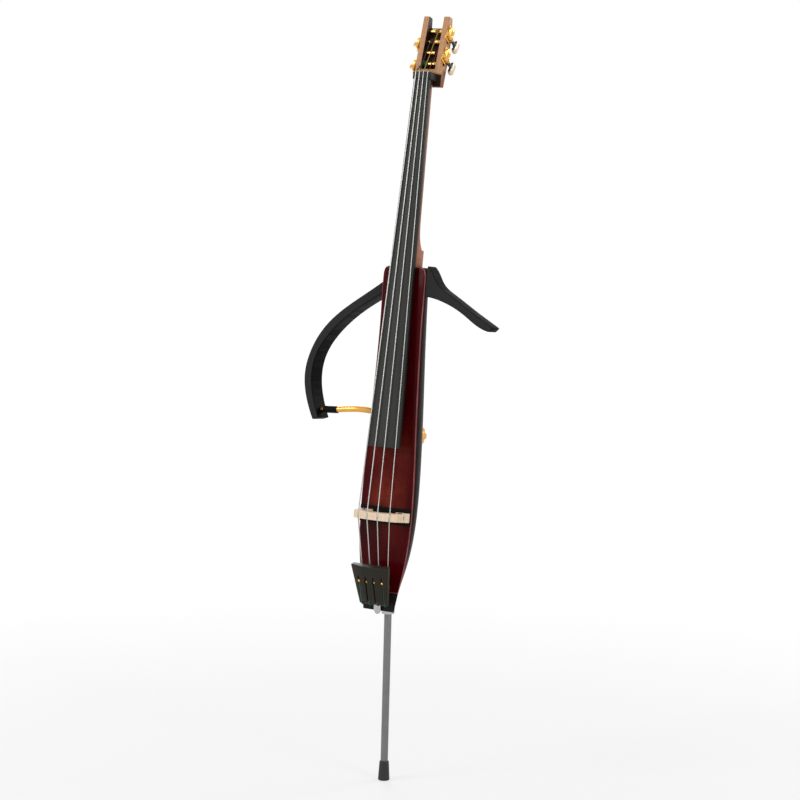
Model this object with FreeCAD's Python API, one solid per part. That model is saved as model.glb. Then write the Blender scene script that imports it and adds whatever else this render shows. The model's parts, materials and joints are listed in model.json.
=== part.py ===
import FreeCAD, Part
import math
import os

# Slim electric upright bass, in millimetres. The origin is the bottom centre of the rubber foot,
# +Z runs up the endpin, the strings face -Y and +X is the viewer's right.

V = FreeCAD.Vector
X_AXIS = V(1, 0, 0)

# Leans, in degrees backwards from the endpin
BODY_LEAN = 5.9
NECK_LEAN = 9.2
HEAD_LEAN = 17.8
TAIL_LEAN = -13.8

# Fits and clearances
RUN_FIT = 0.06
FREE_GAP = 0.4
SEAT_GAP = 0.2
PAST = 1.0
TINY = 1e-6
BEYOND = 1500.0

# Body
BODY_BOTTOM_Z = 430.0
TOP_FACE_FORWARD = 47.0
BODY_LENGTH = 829.0
# A hundredth of the body's length, in which places up the body are given
UP = BODY_LENGTH / 100
# Each station: place up the body, half width, depth, fullness (0 is a V, 1 is an ellipse)
BODY_STATIONS = (
    (0.0 * UP, 43.0, 75.0, 0.0),
    (4.8 * UP, 49.5, 75.5, 0.15),
    (10.9 * UP, 59.0, 76.5, 0.60),
    (18.1 * UP, 67.5, 79.0, 0.88),
    (27.7 * UP, 71.5, 85.0, 1.0),
    (38.6 * UP, 70.5, 91.5, 1.0),
    (50.7 * UP, 66.0, 94.0, 1.0),
    (62.7 * UP, 62.0, 90.0, 1.0),
    (74.8 * UP, 59.0, 82.0, 1.0),
    (86.9 * UP, 57.8, 72.5, 1.0),
    (100.0 * UP, 57.0, 64.0, 1.0),
)
TOP_PLATE_THICK = 5.0
END_BLOCK_LENGTH = 46.0
SIDE_WALL = 8.0
BACK_WALL = 20.0
CAVITY_START = 7.7 * UP
CAVITY_END = 88.7 * UP
CAVITY_FRONT = 20.0
SHOULDER_RADIUS = 14.0
SHOULDER_CLEAR = 3.0

# Fingerboard, neck and nut. The board covers the string length but for the run to the bridge.
STRING_LENGTH = 1050.0
BOARD_SHORT = 166.4
BOARD_LENGTH = STRING_LENGTH - BOARD_SHORT
BOARD_END_S = 395.7
BOARD_END_HEIGHT = 40.7
BOARD_END_HALF = 44.0
BOARD_NUT_HALF = 21.5
BOARD_EDGE = 10.0
BOARD_RADIUS = 110.0
NECK_INSET = 1.0
NECK_DEPTH_NUT = 25.5
NECK_DEPTH_HEEL = 30.0
HEEL_CURVE_DEPTH = 58.0
HEEL_CURVE_LENGTH = 76.0
HEEL_CURVE_STEPS = 12
HEEL_RISE = 44.7
HEEL_TOP = BODY_LENGTH - BOARD_END_S + HEEL_RISE
HEEL_LENGTH = 98.0
HEEL_DEPTH = 71.0
TENON_HALF = 15.0
TENON_DEPTH = 34.0
TENON_LENGTH = 45.0
NUT_THICK = 17.0
NUT_HALF = 24.5
NUT_DEPTH = 33.0
NUT_LIFT = 1.4
ROD_RADIUS = 3.0
ROD_DROP = 21.3
ROD_CHANNEL = 9.0
ROD_NUT = 12.0

# Headstock
HEAD_SETBACK = 21.6
HEAD_BEYOND = 25.1
HEAD_START = BOARD_LENGTH + HEAD_BEYOND
HEAD_LENGTH = 135.0
HEAD_HALF = 35.0
CHEEK = 15.0
HEAD_DEPTH = 31.0
HEAD_TIP_DEPTH = 16.0
HEAD_SKIRT = 60.0
WALL_FRONT_LOW = 22.5
WALL_FRONT_HIGH = 20.5
PEGBOX_LENGTH = 112.0
PEGBOX_FLOOR = 3.0
CHIN_DROP = 38.0

# Machine heads: string name, side, place up the head
MACHINES = (("e", -1, 19.0), ("g", 1, 47.0), ("a", -1, 75.0), ("d", 1, 101.0))
POST_DEPTH = 12.5
DRUM_RADIUS = 5.0
JOURNAL_RADIUS = 4.5
GEAR_RADIUS = 10.5
GEAR_ROOT = 9.2
GEAR_TEETH = 20
GEAR_THICK = 6.0
GEAR_GAP = 0.45
POST_SINK = 8.0
POST_CAP = 2.0
PLATE_THICK = 2.5
PLATE_HALF_W = 11.0
PLATE_LONG = 37.0
WORM_RADIUS = 5.0
WORM_LENGTH = 16.0
WORM_DROP = 38.0
SHAFT_RADIUS = 2.6
EAR_THICK = 3.5
EAR_GAP = 0.25
EAR_PAST = 1.0
SHAFT_STUB = 1.0
COLLAR_RADIUS = 4.2
COLLAR_LENGTH = 20.0
KEY_REACH = 48.0
KEY_SPAN = 32.0
KEY_LENGTH = 15.0
KEY_THICK = 7.0
KEY_SHOULDER = 3.0
KEY_DOME = 2.0
PLATE_SCREW_RADIUS = 1.8
PLATE_SCREW_INSET = 3.2

# Strings: name, place across (-1.5 to 1.5), radius
STRINGS = (("e", -1.5, 1.5), ("a", -0.5, 1.3), ("d", 0.5, 1.15), ("g", 1.5, 1.0))
NUT_SPACING = 10.9
BRIDGE_SPACING = 29.0
TAIL_SPACING = 21.0
WIND_TURNS = 3
DRUM_SHARE = 0.75
WIND_GAP = 0.5
WIND_SEAT = 0.05
STRING_BEND = 5.0
BEND_SHARE = 0.45

# Bridge
BRIDGE_HEIGHT = 66.0
BRIDGE_RADIUS = 115.0
BRIDGE_BASE_THICK = 22.0
BRIDGE_CROWN_THICK = 18.0
CROWN_HALF = 48.0
EAR_HALF = 60.0
EAR_HEIGHT = 50.0
LEG_INNER = 34.0
LEG_OUTER = 66.0
LEG_BOTTOM = 30.0
LEG_TOE = 4.0
LEG_SCOOP = (7.0, 8.0)
WAIST = (5.0, 8.0)
ARCH_HEIGHT = 44.0
FOOT_TOP = 20.0
FOOT_OUTER = 68.0
FOOT_TOE = 9.0
FOOT_INSET = 4.0
BRIDGE_EYE = 5.0
BRIDGE_EYE_HEIGHT = 54.0
WHEEL_X = 50.0
WHEEL_RADIUS = 12.0
WHEEL_THICK = 4.5
WHEEL_NOTCHES = 16
NOTCH_RADIUS = 1.2
WHEEL_POST = 3.0
WHEEL_POST_LOW = 7.0
WHEEL_POST_TOP = 48.0
CROWN_DROP = 4.0
BASE_HALF = 70.0
BASE_REACH = 20.0
BASE_THICK = 3.0
PIEZO_RADIUS = 9.0
PIEZO_THICK = 1.0

# Tailpiece
TAIL_BOTTOM_S = 14.0
TAIL_BOTTOM_HEIGHT = 25.0
TAIL_LENGTH = 102.0
TAIL_BOTTOM_HALF = 38.0
TAIL_TOP_HALF = 52.0
TAIL_THICK = 12.0
TAIL_ARCH = 8.0
TAIL_CHAMFER = 10.0
TAIL_EDGE = 2.0
TAIL_LIP = 0.5
TAIL_REST = 16.0
BALL_RADIUS = 3.8
BALL_PLACE = 62.0
BALL_SLOT = 14.0
TAIL_POST_X = 21.0
TAIL_POST_RADIUS = 4.5
TAIL_POST_PLACE = 42.0
FLANGE_PAST = 2.5
FLANGE_THICK = 3.0

# Endpin
PIN_RADIUS = 9.0
PIN_WALL = 2.0
FOOT_HEIGHT = 47.4
FOOT_TOP_RADIUS = 11.4
FOOT_BOTTOM_RADIUS = 14.2
FOOT_SOCKET = 32.0
FOOT_FILLET = 2.0
SLEEVE_RADIUS = 12.0
SLEEVE_RISE = 70.0
SLEEVE_TOP = BODY_BOTTOM_Z + SLEEVE_RISE
COLLAR_RING_RADIUS = 16.0
COLLAR_HEIGHT = 15.0
COLLAR_BOTTOM = BODY_BOTTOM_Z - COLLAR_HEIGHT
STOP_RADIUS = 11.5
STOP_HEIGHT = 6.0
TAB_RISE = 8.5
TAB_HEIGHT_Z = BODY_BOTTOM_Z + TAB_RISE
TAB_HALF_W = 9.5
TAB_HALF_H = 16.0
TAB_THICK = 5.0
TAB_STAND = 7.0
TAB_FORWARD = TOP_FACE_FORWARD + TAB_STAND
TAB_SHAFT = 4.0

# Frames, in the body's own plane: places are (across, up the body in its hundredths)
FRAME_FRONT = 3.0
LEFT_FRAME_DEPTH = 52.0
RIGHT_FRAME_DEPTH = 40.0
LEFT_OUTER = ((-50.0, 96.1), (-129.0, 89.4), (-210.0, 81.2), (-250.0, 73.0), (-261.0, 66.1),
              (-251.0, 59.3), (-229.0, 53.2))
LEFT_INNER = ((-213.0, 53.9), (-231.0, 59.3), (-241.0, 66.1), (-232.0, 72.4), (-198.0, 79.0),
              (-129.0, 86.5), (-50.0, 92.4))
RIGHT_OUTER = ((50.0, 101.2), (66.0, 100.0), (89.0, 95.8), (126.0, 92.6), (185.0, 88.4), (246.0, 84.3))
RIGHT_INNER = ((236.0, 83.1), (205.0, 84.4), (168.0, 87.2), (109.0, 90.5), (50.0, 91.8))
FRAME_PIN_RADIUS = 4.0
FRAME_PIN_SINK = 28.0
FRAME_PIN_REACH = 12.0
# Pin places: up the body in its hundredths, behind the top face
LEFT_PINS = ((92.9, 15.0), (92.9, 41.0))
RIGHT_PINS = ((93.6, 20.0), (97.2, 20.0))

# Brace bar: places are (across, behind the top face, up the body in its hundredths)
BRACE_POINTS = ((-222.0, 28.0, 56.2), (-186.0, 28.0, 56.5), (-150.0, 29.0, 57.1), (-112.0, 33.0, 57.5),
                (-78.0, 50.0, 57.1), (-56.0, 77.0, 54.5), (-40.0, 98.4, 51.6))
BRACE_RADIUS = 7.5
BRACE_SOCKET = 60.0
FERRULE_RADIUS = 8.6
FERRULE_LENGTH = 17.0
FERRULE_BACK = 4.0
BOSS_RADIUS = 20.0
BOSS_FACE = 95.0
BOSS_SINK = 10.0
CLAMP_S = 50.9 * UP
FORK_THICK = 7.0
FORK_HALF = 19.0
FORK_LEFT = -46.0
FORK_RIGHT = 20.0
FORK_SLOT = 6.5
STUD_RADIUS = 5.0
STUD_LENGTH = 24.0
CLAMP_RADIUS = 24.5
CLAMP_THICK = 26.0
CLAMP_LOBES = 7
LOBE_OUT = 3.5
LOBE_RADIUS = 6.5

# Controls on the back
LAND_FACE = 78.0
LAND_START = 55.0 * UP
LAND_END = 72.6 * UP
LAND_HALF = 19.0
PANEL_THICK = 2.5
PANEL_INSET = (2.0, 3.0)
KNOB_PLACES = (("volume", 62.7 * UP), ("treble", 66.1 * UP), ("bass", 69.5 * UP))
KNOB_RADIUS = 8.0
KNOB_HEIGHT = 14.0
KNOB_SHAFT = 3.0
KNOB_FILLET = 1.5
JACK_PLACES = (("output_jack", 56.7 * UP, 3.2), ("headphone_jack", 59.3 * UP, 1.8))
JACK_BARREL = 6.0
JACK_LENGTH = 26.0
JACK_FLANGE = 2.0
CIRCUIT_PLACE = 62.0
CIRCUIT_THICK = 1.6
CIRCUIT_PAST = 14.0
CIRCUIT_INSET = 1.5
WELL_HALF = 14.0
WELL_INSET = (8.0, 10.0)
POT_RADIUS = 8.0
POT_FLOOR = 70.0
BATTERY_FACE = 84.0
BATTERY_MID = 36.0 * UP
DOOR_HALF_W = 17.0
DOOR_HALF_L = 34.0
DOOR_THICK = 2.0
BATTERY_SIZE = (26.5, 17.5, 48.5)
BOX_WALL = 1.6
BATTERY_SLACK = 0.5
LEAD_RADIUS = 1.2
# Lead's corners: inwards from the wheel, behind the top face, share of the run to the circuit board
LEAD_CORNERS = ((0.0, 16.0, 0.0), (6.0, 28.0, 0.13), (14.0, 40.0, 0.35), (26.0, 52.0, 0.57),
                (38.0, 61.0, 0.78))
LEAD_END = (42.0, 0.8)
PANEL_SCREW_RADIUS = 2.6
PANEL_SCREW_SHANK = 1.5
PANEL_SCREW_HEAD = 1.4
PANEL_SCREW_INSET = 3.2
PANEL_SCREW_ENDS = (6.0, 7.0)


def place(y, z, lean):
    """A frame leaning back by an angle, with its origin in the plane X = 0."""
    return FreeCAD.Placement(V(0, y, z), FreeCAD.Rotation(X_AXIS, -lean))


BODY = place(-TOP_FACE_FORWARD, BODY_BOTTOM_Z, BODY_LEAN)
NECK = BODY.multiply(place(-BOARD_END_HEIGHT, BOARD_END_S, NECK_LEAN - BODY_LEAN))
HEAD = NECK.multiply(place(HEAD_SETBACK, HEAD_START, HEAD_LEAN - NECK_LEAN))
TAIL = BODY.multiply(place(-TAIL_BOTTOM_HEIGHT, TAIL_BOTTOM_S, TAIL_LEAN - BODY_LEAN))


def put(shape, frame):
    """The shape, moved from a local frame to the row frame."""
    moved = shape.copy()
    moved.Placement = frame.multiply(moved.Placement)
    return moved


def box(x0, x1, y0, y1, z0, z1):
    return Part.makeBox(x1 - x0, y1 - y0, z1 - z0, V(x0, y0, z0))


def rod(radius, start, end):
    """A cylinder between two points."""
    return Part.makeCylinder(radius, (end - start).Length, start, end - start)


def ring(outer, inner, start, end):
    """A tube between two points."""
    reach = (end - start).normalize() * PAST
    return rod(outer, start, end).cut(rod(inner, start - reach, end + reach))


def prism(points, normal_from, normal_by):
    """A straight-sided solid on a closed outline of points given as vectors."""
    outline = Part.makePolygon([p + normal_from for p in points + points[:1]])
    return Part.Face(outline).extrude(normal_by)


def spline(points):
    curve = Part.BSplineCurve()
    curve.interpolate(points)
    return curve.toShape()


def arc(start, middle, end):
    return Part.Arc(start, middle, end).toShape()


def line(start, end):
    return Part.LineSegment(start, end).toShape()


def slab(edges, by):
    """A solid on a closed outline of edges."""
    return Part.Face(Part.Wire(Part.__sortEdges__(edges))).extrude(by)


def bend_path(points, radii):
    """Straight runs joined by tangent arcs, one radius for each inner point."""
    edges = []
    last = points[0]
    for before, corner, after, radius in zip(points, points[1:], points[2:], radii):
        back = (before - corner).normalize()
        ahead = (after - corner).normalize()
        half = back.getAngle(ahead) / 2
        trim = radius / math.tan(half)
        middle = (back + ahead).normalize()
        start = corner + back * trim
        end = corner + ahead * trim
        mid = corner + middle * (radius / math.sin(half) - radius)
        if (start - last).Length > TINY:
            edges.append(line(last, start))
        edges.append(arc(start, mid, end))
        last = end
    edges.append(line(last, points[-1]))
    return edges


def tube(edges, radius):
    """A round bar along a path of joined edges."""
    first = edges[0]
    start = first.valueAt(first.FirstParameter)
    heading = first.tangentAt(first.FirstParameter)
    section = Part.Wire(Part.makeCircle(radius, start, heading))
    return Part.Wire(edges).makePipeShell([section], True, False)


def safe_radii(points):
    """The largest arcs that a route leaves room for."""
    radii = []
    for before, corner, after in zip(points, points[1:], points[2:]):
        turn = math.pi - (before - corner).getAngle(after - corner)
        shorter = min((before - corner).Length, (after - corner).Length)
        radii.append(BEND_SHARE * shorter / math.tan(turn / 2))
    return radii


# Body


def station(s):
    """Half width, depth and fullness of the body at a distance up it, between the stations."""
    for low, high in zip(BODY_STATIONS, BODY_STATIONS[1:]):
        if s <= high[0]:
            break
    share = (s - low[0]) / (high[0] - low[0])
    return [a + (b - a) * share for a, b in zip(low[1:], high[1:])]


def body_section(s, half, depth, fullness, front):
    """A closed D-shaped outline across the body, its flat side at the front."""
    across = []
    steps = 6
    for k in range(-steps, steps + 1):
        angle = math.radians(90.0 * (steps - abs(k)) / steps)
        x = half * (fullness * math.cos(angle) + (1 - fullness) * (1 - math.sin(angle)))
        y = front + (depth - front) * math.sin(angle)
        across.append(V(math.copysign(x, k) if k else 0.0, y, s))
    return Part.Wire([spline(across), line(across[-1], across[0])])


def body_loft(grow):
    """The body's whole outside, grown outwards by an amount."""
    wires = []
    for s, half, depth, full in BODY_STATIONS:
        wires.append(body_section(s, half + grow, depth + grow, full, 0.0))
    return Part.makeLoft(wires, True, False)


def body_outside():
    solid = body_loft(0.0)
    r = SHOULDER_RADIUS
    w = BODY_STATIONS[-1][1]
    deep = V(0, BODY_STATIONS[-1][2] + 2 * PAST, 0)
    for side in (-1, 1):
        corner = V(side * w, -PAST, BODY_LENGTH)
        start = corner + V(0, 0, -r)
        end = corner + V(-side * r, 0, 0)
        centre = corner + V(-side * r, 0, -r)
        mid = centre + V(side, 0, 1).normalize() * r
        out = corner + V(side * r, 0, r)
        edges = [arc(start, mid, end), line(end, V(end.x, end.y, out.z)), line(V(end.x, end.y, out.z), out),
                 line(out, V(out.x, out.y, start.z)), line(V(out.x, out.y, start.z), start)]
        solid = solid.cut(slab(edges, deep))
    floor = box(-BEYOND, BEYOND, -BEYOND, BEYOND, -BEYOND, BODY_BOTTOM_Z)
    return solid.cut(put(floor, BODY.inverse()))


def body_cavity():
    """The hollow behind the top plate."""
    wires = []
    between = [s[0] for s in BODY_STATIONS if CAVITY_START < s[0] < CAVITY_END]
    for s in [CAVITY_START] + between + [CAVITY_END]:
        half, depth, full = station(s)
        wires.append(body_section(s, half - SIDE_WALL, depth - BACK_WALL, full, TOP_PLATE_THICK - PAST))
    return Part.makeLoft(wires, True, False)


def pin_axis_solid(radius, z0, z1):
    """A cylinder on the endpin's axis, given in the body's frame."""
    return put(rod(radius, V(0, 0, z0), V(0, 0, z1)), BODY.inverse())


def crossways(radius, place_s, depth, x0, x1):
    """A cylinder running across the body."""
    return rod(radius, V(x0, depth, place_s), V(x1, depth, place_s))


def outwards(radius, x, s, y0, y1):
    """A cylinder at right angles to the top plate."""
    return rod(radius, V(x, y0, s), V(x, y1, s))


def frame_pins(side, places, grow):
    half = BODY_STATIONS[-1][1]
    inner = side * (half - FRAME_PIN_SINK - grow)
    outer = side * (half + FRAME_PIN_REACH)
    return [crossways(FRAME_PIN_RADIUS + grow, s * UP, depth, inner, outer) for s, depth in places]


def tab_shaft(radius, near):
    """The thumb screw's line in the row frame, from near the endpin out past the body's front."""
    return rod(radius, V(0, near, TAB_HEIGHT_Z), V(0, -TAB_FORWARD, TAB_HEIGHT_Z))


def land(face, s0, s1, half):
    """The space cut away over a flat land on the back."""
    return box(-half, half, face, BEYOND, s0, s1)


def build_body(parts):
    outside = body_outside()
    low = box(-BEYOND, BEYOND, -PAST, BEYOND, -BEYOND, END_BLOCK_LENGTH)
    front = box(-BEYOND, BEYOND, -BEYOND, TOP_PLATE_THICK, -BEYOND, BEYOND)
    block = outside.common(low)
    upper = outside.cut(low)
    plate = upper.common(front)
    hull = upper.cut(front).cut(body_cavity())

    bore = pin_axis_solid(SLEEVE_RADIUS, COLLAR_BOTTOM, SLEEVE_TOP + 2 * STOP_HEIGHT)
    hull = hull.cut(bore)
    block = block.cut(bore).cut(put(tab_shaft(TAB_SHAFT + RUN_FIT, 0), BODY.inverse()))
    tenon = tenon_solid()
    hull = hull.cut(tenon)

    for side, places in ((-1, LEFT_PINS), (1, RIGHT_PINS)):
        for pin in frame_pins(side, places, RUN_FIT):
            hull = hull.cut(pin)

    hull = hull.cut(land(LAND_FACE, LAND_START, LAND_END, BEYOND))
    well = (LAND_START + WELL_INSET[0], LAND_END - WELL_INSET[1])
    hull = hull.cut(box(-WELL_HALF, WELL_HALF, CAVITY_FRONT, LAND_FACE + PAST, *well))
    half_l = DOOR_HALF_L + FREE_GAP
    hull = hull.cut(land(BATTERY_FACE, BATTERY_MID - half_l, BATTERY_MID + half_l, DOOR_HALF_W + FREE_GAP))
    wide, deep, long = [v / 2 + BOX_WALL for v in BATTERY_SIZE]
    pocket = (BATTERY_MID - long, BATTERY_MID + long)
    hull = hull.cut(box(-wide, wide, CAVITY_FRONT, BATTERY_FACE + PAST, *pocket))
    hull = hull.cut(outwards(BOSS_RADIUS, 0, CLAMP_S, BOSS_FACE - BOSS_SINK, BEYOND))
    hull = hull.cut(outwards(STUD_RADIUS + PAST, 0, CLAMP_S, CAVITY_FRONT, BOSS_FACE))

    lead_hole = LEAD_RADIUS + FREE_GAP
    plate = plate.cut(outwards(lead_hole, WHEEL_X, bridge_place(), -PAST, TOP_PLATE_THICK + PAST))
    parts["hull"] = put(hull, BODY)
    parts["top_plate"] = put(plate, BODY)
    parts["end_block"] = put(block, BODY)


def tenon_solid():
    mid = (TOP_PLATE_THICK + BODY_STATIONS[-1][2]) / 2
    return box(-TENON_HALF, TENON_HALF, mid - TENON_DEPTH / 2, mid + TENON_DEPTH / 2,
               BODY_LENGTH - TENON_LENGTH, BODY_LENGTH + PAST)


# Neck, fingerboard, nut and headstock


def board_half(z):
    return BOARD_END_HALF + (BOARD_NUT_HALF - BOARD_END_HALF) * z / BOARD_LENGTH


def arch_rise(x, half, radius):
    """How far an arched face stands proud of its edges at a place across it."""
    return math.sqrt(radius ** 2 - x ** 2) - math.sqrt(radius ** 2 - half ** 2)


def board_section(z):
    w = board_half(z)
    rise = arch_rise(0, w, BOARD_RADIUS)
    a, b = V(-w, 0, z), V(w, 0, z)
    c, d = V(w, BOARD_EDGE, z), V(-w, BOARD_EDGE, z)
    return Part.Wire([arc(a, V(0, -rise, z), b), line(b, c), line(c, d), line(d, a)])


def neck_section(z, depth):
    w = board_half(z) - NECK_INSET
    across = []
    steps = 6
    for k in range(-steps, steps + 1):
        angle = math.radians(90.0 * k / steps)
        across.append(V(w * math.sin(angle), BOARD_EDGE + depth * math.cos(angle), z))
    return Part.Wire([spline(across), line(across[-1], across[0])])


def neck_depth(z):
    """Depth of wood behind the fingerboard, with the sweep into the heel."""
    share = (z - HEEL_TOP) / (BOARD_LENGTH - HEEL_TOP)
    shaft = NECK_DEPTH_HEEL + (NECK_DEPTH_NUT - NECK_DEPTH_HEEL) * share
    left = max(0.0, 1 - (z - HEEL_TOP) / HEEL_CURVE_LENGTH)
    return shaft + (HEEL_CURVE_DEPTH - NECK_DEPTH_HEEL) * left ** 3


def neck_upper():
    """The neck above its heel's foot, as straight-sided bands."""
    step = HEEL_CURVE_LENGTH / HEEL_CURVE_STEPS
    places = [HEEL_TOP + step * k for k in range(HEEL_CURVE_STEPS + 1)] + [BOARD_LENGTH]
    return Part.makeLoft([neck_section(z, neck_depth(z)) for z in places], True, True)


def neck_solid():
    upper = neck_upper()
    ends = (HEEL_TOP - HEEL_LENGTH, HEEL_TOP)
    heel = Part.makeLoft([neck_section(z, HEEL_DEPTH) for z in ends], True, True)
    below = put(box(-BEYOND, BEYOND, -BEYOND, BEYOND, -BEYOND, BODY_LENGTH), BODY)
    below = put(below, NECK.inverse())
    tenon = put(put(tenon_solid(), BODY), NECK.inverse())
    return heel.fuse(upper).cut(below).fuse(tenon).removeSplitter()


def chin_level():
    """Where the headstock's chin ends, up the fingerboard."""
    return HEAD_START - CHIN_DROP


def head_block():
    """The pegbox in the head's own frame."""
    deep = HEAD_DEPTH
    top = HEAD_LENGTH
    x = -HEAD_HALF
    low = -HEAD_SKIRT
    back = [V(x, deep, 0), V(x, deep - PAST, top / 2), V(x, HEAD_TIP_DEPTH, top)]
    edges = [line(V(x, 0, top), V(x, 0, low)), line(V(x, 0, low), V(x, deep, low)),
             line(V(x, deep, low), back[0]), arc(*back), line(back[2], V(x, 0, top))]
    block = slab(edges, V(2 * HEAD_HALF, 0, 0))
    inside = HEAD_HALF - CHEEK
    well = box(-inside, inside, -PAST, deep, PEGBOX_FLOOR, top + PAST)
    slope = [V(-inside, WALL_FRONT_LOW, PEGBOX_FLOOR - PAST), V(-inside, deep + PAST, PEGBOX_FLOOR - PAST),
             V(-inside, deep + PAST, PEGBOX_LENGTH), V(-inside, WALL_FRONT_HIGH, PEGBOX_LENGTH)]
    wall = prism(slope, V(0, 0, 0), V(2 * inside, 0, 0))
    return block.cut(well.cut(wall))


def headstock_solid():
    block = put(put(head_block(), HEAD), NECK.inverse())
    block = block.cut(box(-BEYOND, BEYOND, -BEYOND, BEYOND, 0, chin_level()))
    block = block.cut(box(-BEYOND, BEYOND, -BEYOND, NUT_DEPTH, 0, BOARD_LENGTH + NUT_THICK))
    return block.fuse(neck_end()).removeSplitter()


def neck_end():
    """The stub of neck wood that belongs to the headstock, from the chin up to the nut."""
    return neck_upper().common(box(-BEYOND, BEYOND, 0, BEYOND, chin_level(), BOARD_LENGTH))


def nut_solid():
    low, high = BOARD_LENGTH, BOARD_LENGTH + NUT_THICK
    rise = arch_rise(0, NUT_HALF, BOARD_RADIUS) + NUT_LIFT
    a, b = V(-NUT_HALF, -NUT_LIFT, low), V(NUT_HALF, -NUT_LIFT, low)
    c, d = V(NUT_HALF, NUT_DEPTH, low), V(-NUT_HALF, NUT_DEPTH, low)
    solid = slab([arc(a, V(0, -rise, low), b), line(b, c), line(c, d), line(d, a)], V(0, 0, high - low))
    for name, across, radius in STRINGS:
        centre = nut_point(across, radius)
        reach = V(0, 0, PAST)
        along = V(0, 0, NUT_THICK)
        solid = solid.cut(rod(radius + FREE_GAP, centre - reach, centre + along + reach))
    return solid


def build_neck(parts):
    neck = neck_solid().cut(box(-BEYOND, BEYOND, -BEYOND, BEYOND, chin_level(), BEYOND))
    rod_top = chin_level() - ROD_CHANNEL
    rod_low = HEEL_TOP - ROD_DROP
    rod_mid = BOARD_EDGE + ROD_CHANNEL / 2
    half = ROD_CHANNEL / 2
    neck = neck.cut(box(-half, half, BOARD_EDGE, BOARD_EDGE + ROD_CHANNEL, rod_low, rod_top))
    truss = rod(ROD_RADIUS, V(0, rod_mid, rod_low), V(0, rod_mid, rod_top))
    truss = truss.fuse(rod(half, V(0, rod_mid, rod_top - ROD_NUT), V(0, rod_mid, rod_top)))
    truss = truss.fuse(rod(half, V(0, rod_mid, rod_low), V(0, rod_mid, rod_low + ROD_NUT)))
    board = Part.makeLoft([board_section(0), board_section(BOARD_LENGTH)], True, True)
    head = put(headstock_solid(), NECK)
    for name, side, z in MACHINES:
        head = head.cut(put(post_bore(z), HEAD))
    parts["neck"] = put(neck, NECK)
    parts["truss_rod"] = put(truss, NECK)
    parts["fingerboard"] = put(board, NECK)
    parts["nut"] = put(nut_solid(), NECK)
    parts["headstock"] = head


# Machine heads


def post_bore(z):
    reach = HEAD_HALF + PLATE_THICK + PAST
    return rod(JOURNAL_RADIUS + RUN_FIT, V(-reach, POST_DEPTH, z), V(reach, POST_DEPTH, z))


def worm_axis():
    """Heading of the worm's shaft in the head's frame, towards the key, and the way from post to worm."""
    drop = math.radians(WORM_DROP)
    heading = V(0, math.cos(drop), -math.sin(drop))
    aside = V(0, -math.sin(drop), -math.cos(drop))
    local = HEAD.inverse().Rotation
    return local.multVec(heading), local.multVec(aside)


def gear_solid(x0, x1, z):
    """A toothed wheel on the post, its teeth cut by a loop."""
    centre = V(x0, POST_DEPTH, z)
    wheel = Part.makeCylinder(GEAR_RADIUS, abs(x1 - x0), V(min(x0, x1), POST_DEPTH, z), X_AXIS)
    gap = math.pi * GEAR_RADIUS / GEAR_TEETH * GEAR_GAP
    cut = box(min(x0, x1) - PAST, max(x0, x1) + PAST, -gap, gap, GEAR_ROOT, GEAR_RADIUS + PAST)
    for k in range(GEAR_TEETH):
        tooth = cut.copy()
        tooth.rotate(V(0, 0, 0), X_AXIS, 360.0 * k / GEAR_TEETH)
        tooth.translate(V(0, centre.y, centre.z))
        wheel = wheel.cut(tooth)
    return wheel


def post_solid(side, z):
    inside = HEAD_HALF - CHEEK - FREE_GAP
    outer = HEAD_HALF + PLATE_THICK + FREE_GAP
    end = side * (outer + GEAR_THICK)
    far = -side * (HEAD_HALF - CHEEK + POST_SINK)
    solid = rod(JOURNAL_RADIUS, V(far, POST_DEPTH, z), V(end + side * POST_CAP, POST_DEPTH, z))
    solid = solid.fuse(rod(DRUM_RADIUS, V(-inside, POST_DEPTH, z), V(inside, POST_DEPTH, z)))
    return solid.fuse(gear_solid(side * outer, end, z)).removeSplitter()


def machine_points(side, z):
    """Centre of the worm, and the shaft's heading, in the head's frame."""
    heading, aside = worm_axis()
    x = side * (HEAD_HALF + PLATE_THICK + FREE_GAP + GEAR_THICK / 2)
    centre = V(x, POST_DEPTH, z) + aside * (GEAR_RADIUS + WORM_RADIUS + FREE_GAP)
    return centre, heading


def ear_places():
    near = WORM_LENGTH / 2 + EAR_GAP
    return (-near - EAR_THICK, -near), (near, near + EAR_THICK)


def plate_frame(z):
    """A frame on the post's axis, its -Z running from the post to the worm."""
    return FreeCAD.Placement(V(0, POST_DEPTH, z), FreeCAD.Rotation(V(0, 0, -1), worm_axis()[1]))


def plate_solid(side, z):
    """The machine's plate with two ears that carry the worm."""
    centre, heading = machine_points(side, z)
    frame = plate_frame(z)
    x0 = side * HEAD_HALF
    x1 = side * (HEAD_HALF + PLATE_THICK)
    low = -(PLATE_LONG - PLATE_HALF_W)
    flat = box(min(x0, x1), max(x0, x1), -PLATE_HALF_W, PLATE_HALF_W, low, PLATE_HALF_W)
    solid = flat
    drop = GEAR_RADIUS + WORM_RADIUS + FREE_GAP
    x2 = centre.x + side * (WORM_RADIUS + EAR_PAST)
    low, high = -drop - WORM_RADIUS, -drop + WORM_RADIUS
    for near, far in ear_places():
        solid = solid.fuse(box(min(x1 - side, x2), max(x1 - side, x2), near, far, low, high))
    solid = put(solid, frame)
    trough = heading * (WORM_LENGTH / 2 + EAR_GAP)
    solid = solid.cut(rod(WORM_RADIUS + FREE_GAP, centre - trough, centre + trough))
    shaft = heading * KEY_REACH
    solid = solid.cut(rod(SHAFT_RADIUS + RUN_FIT, centre - shaft, centre + shaft))
    for spot in screw_spots():
        hole = rod(PLATE_SCREW_RADIUS, V(x0 - side * PAST, 0, 0) + spot, V(x1 + side * PAST, 0, 0) + spot)
        solid = solid.cut(put(hole, frame))
    return solid.cut(post_bore(z)).removeSplitter()


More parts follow.
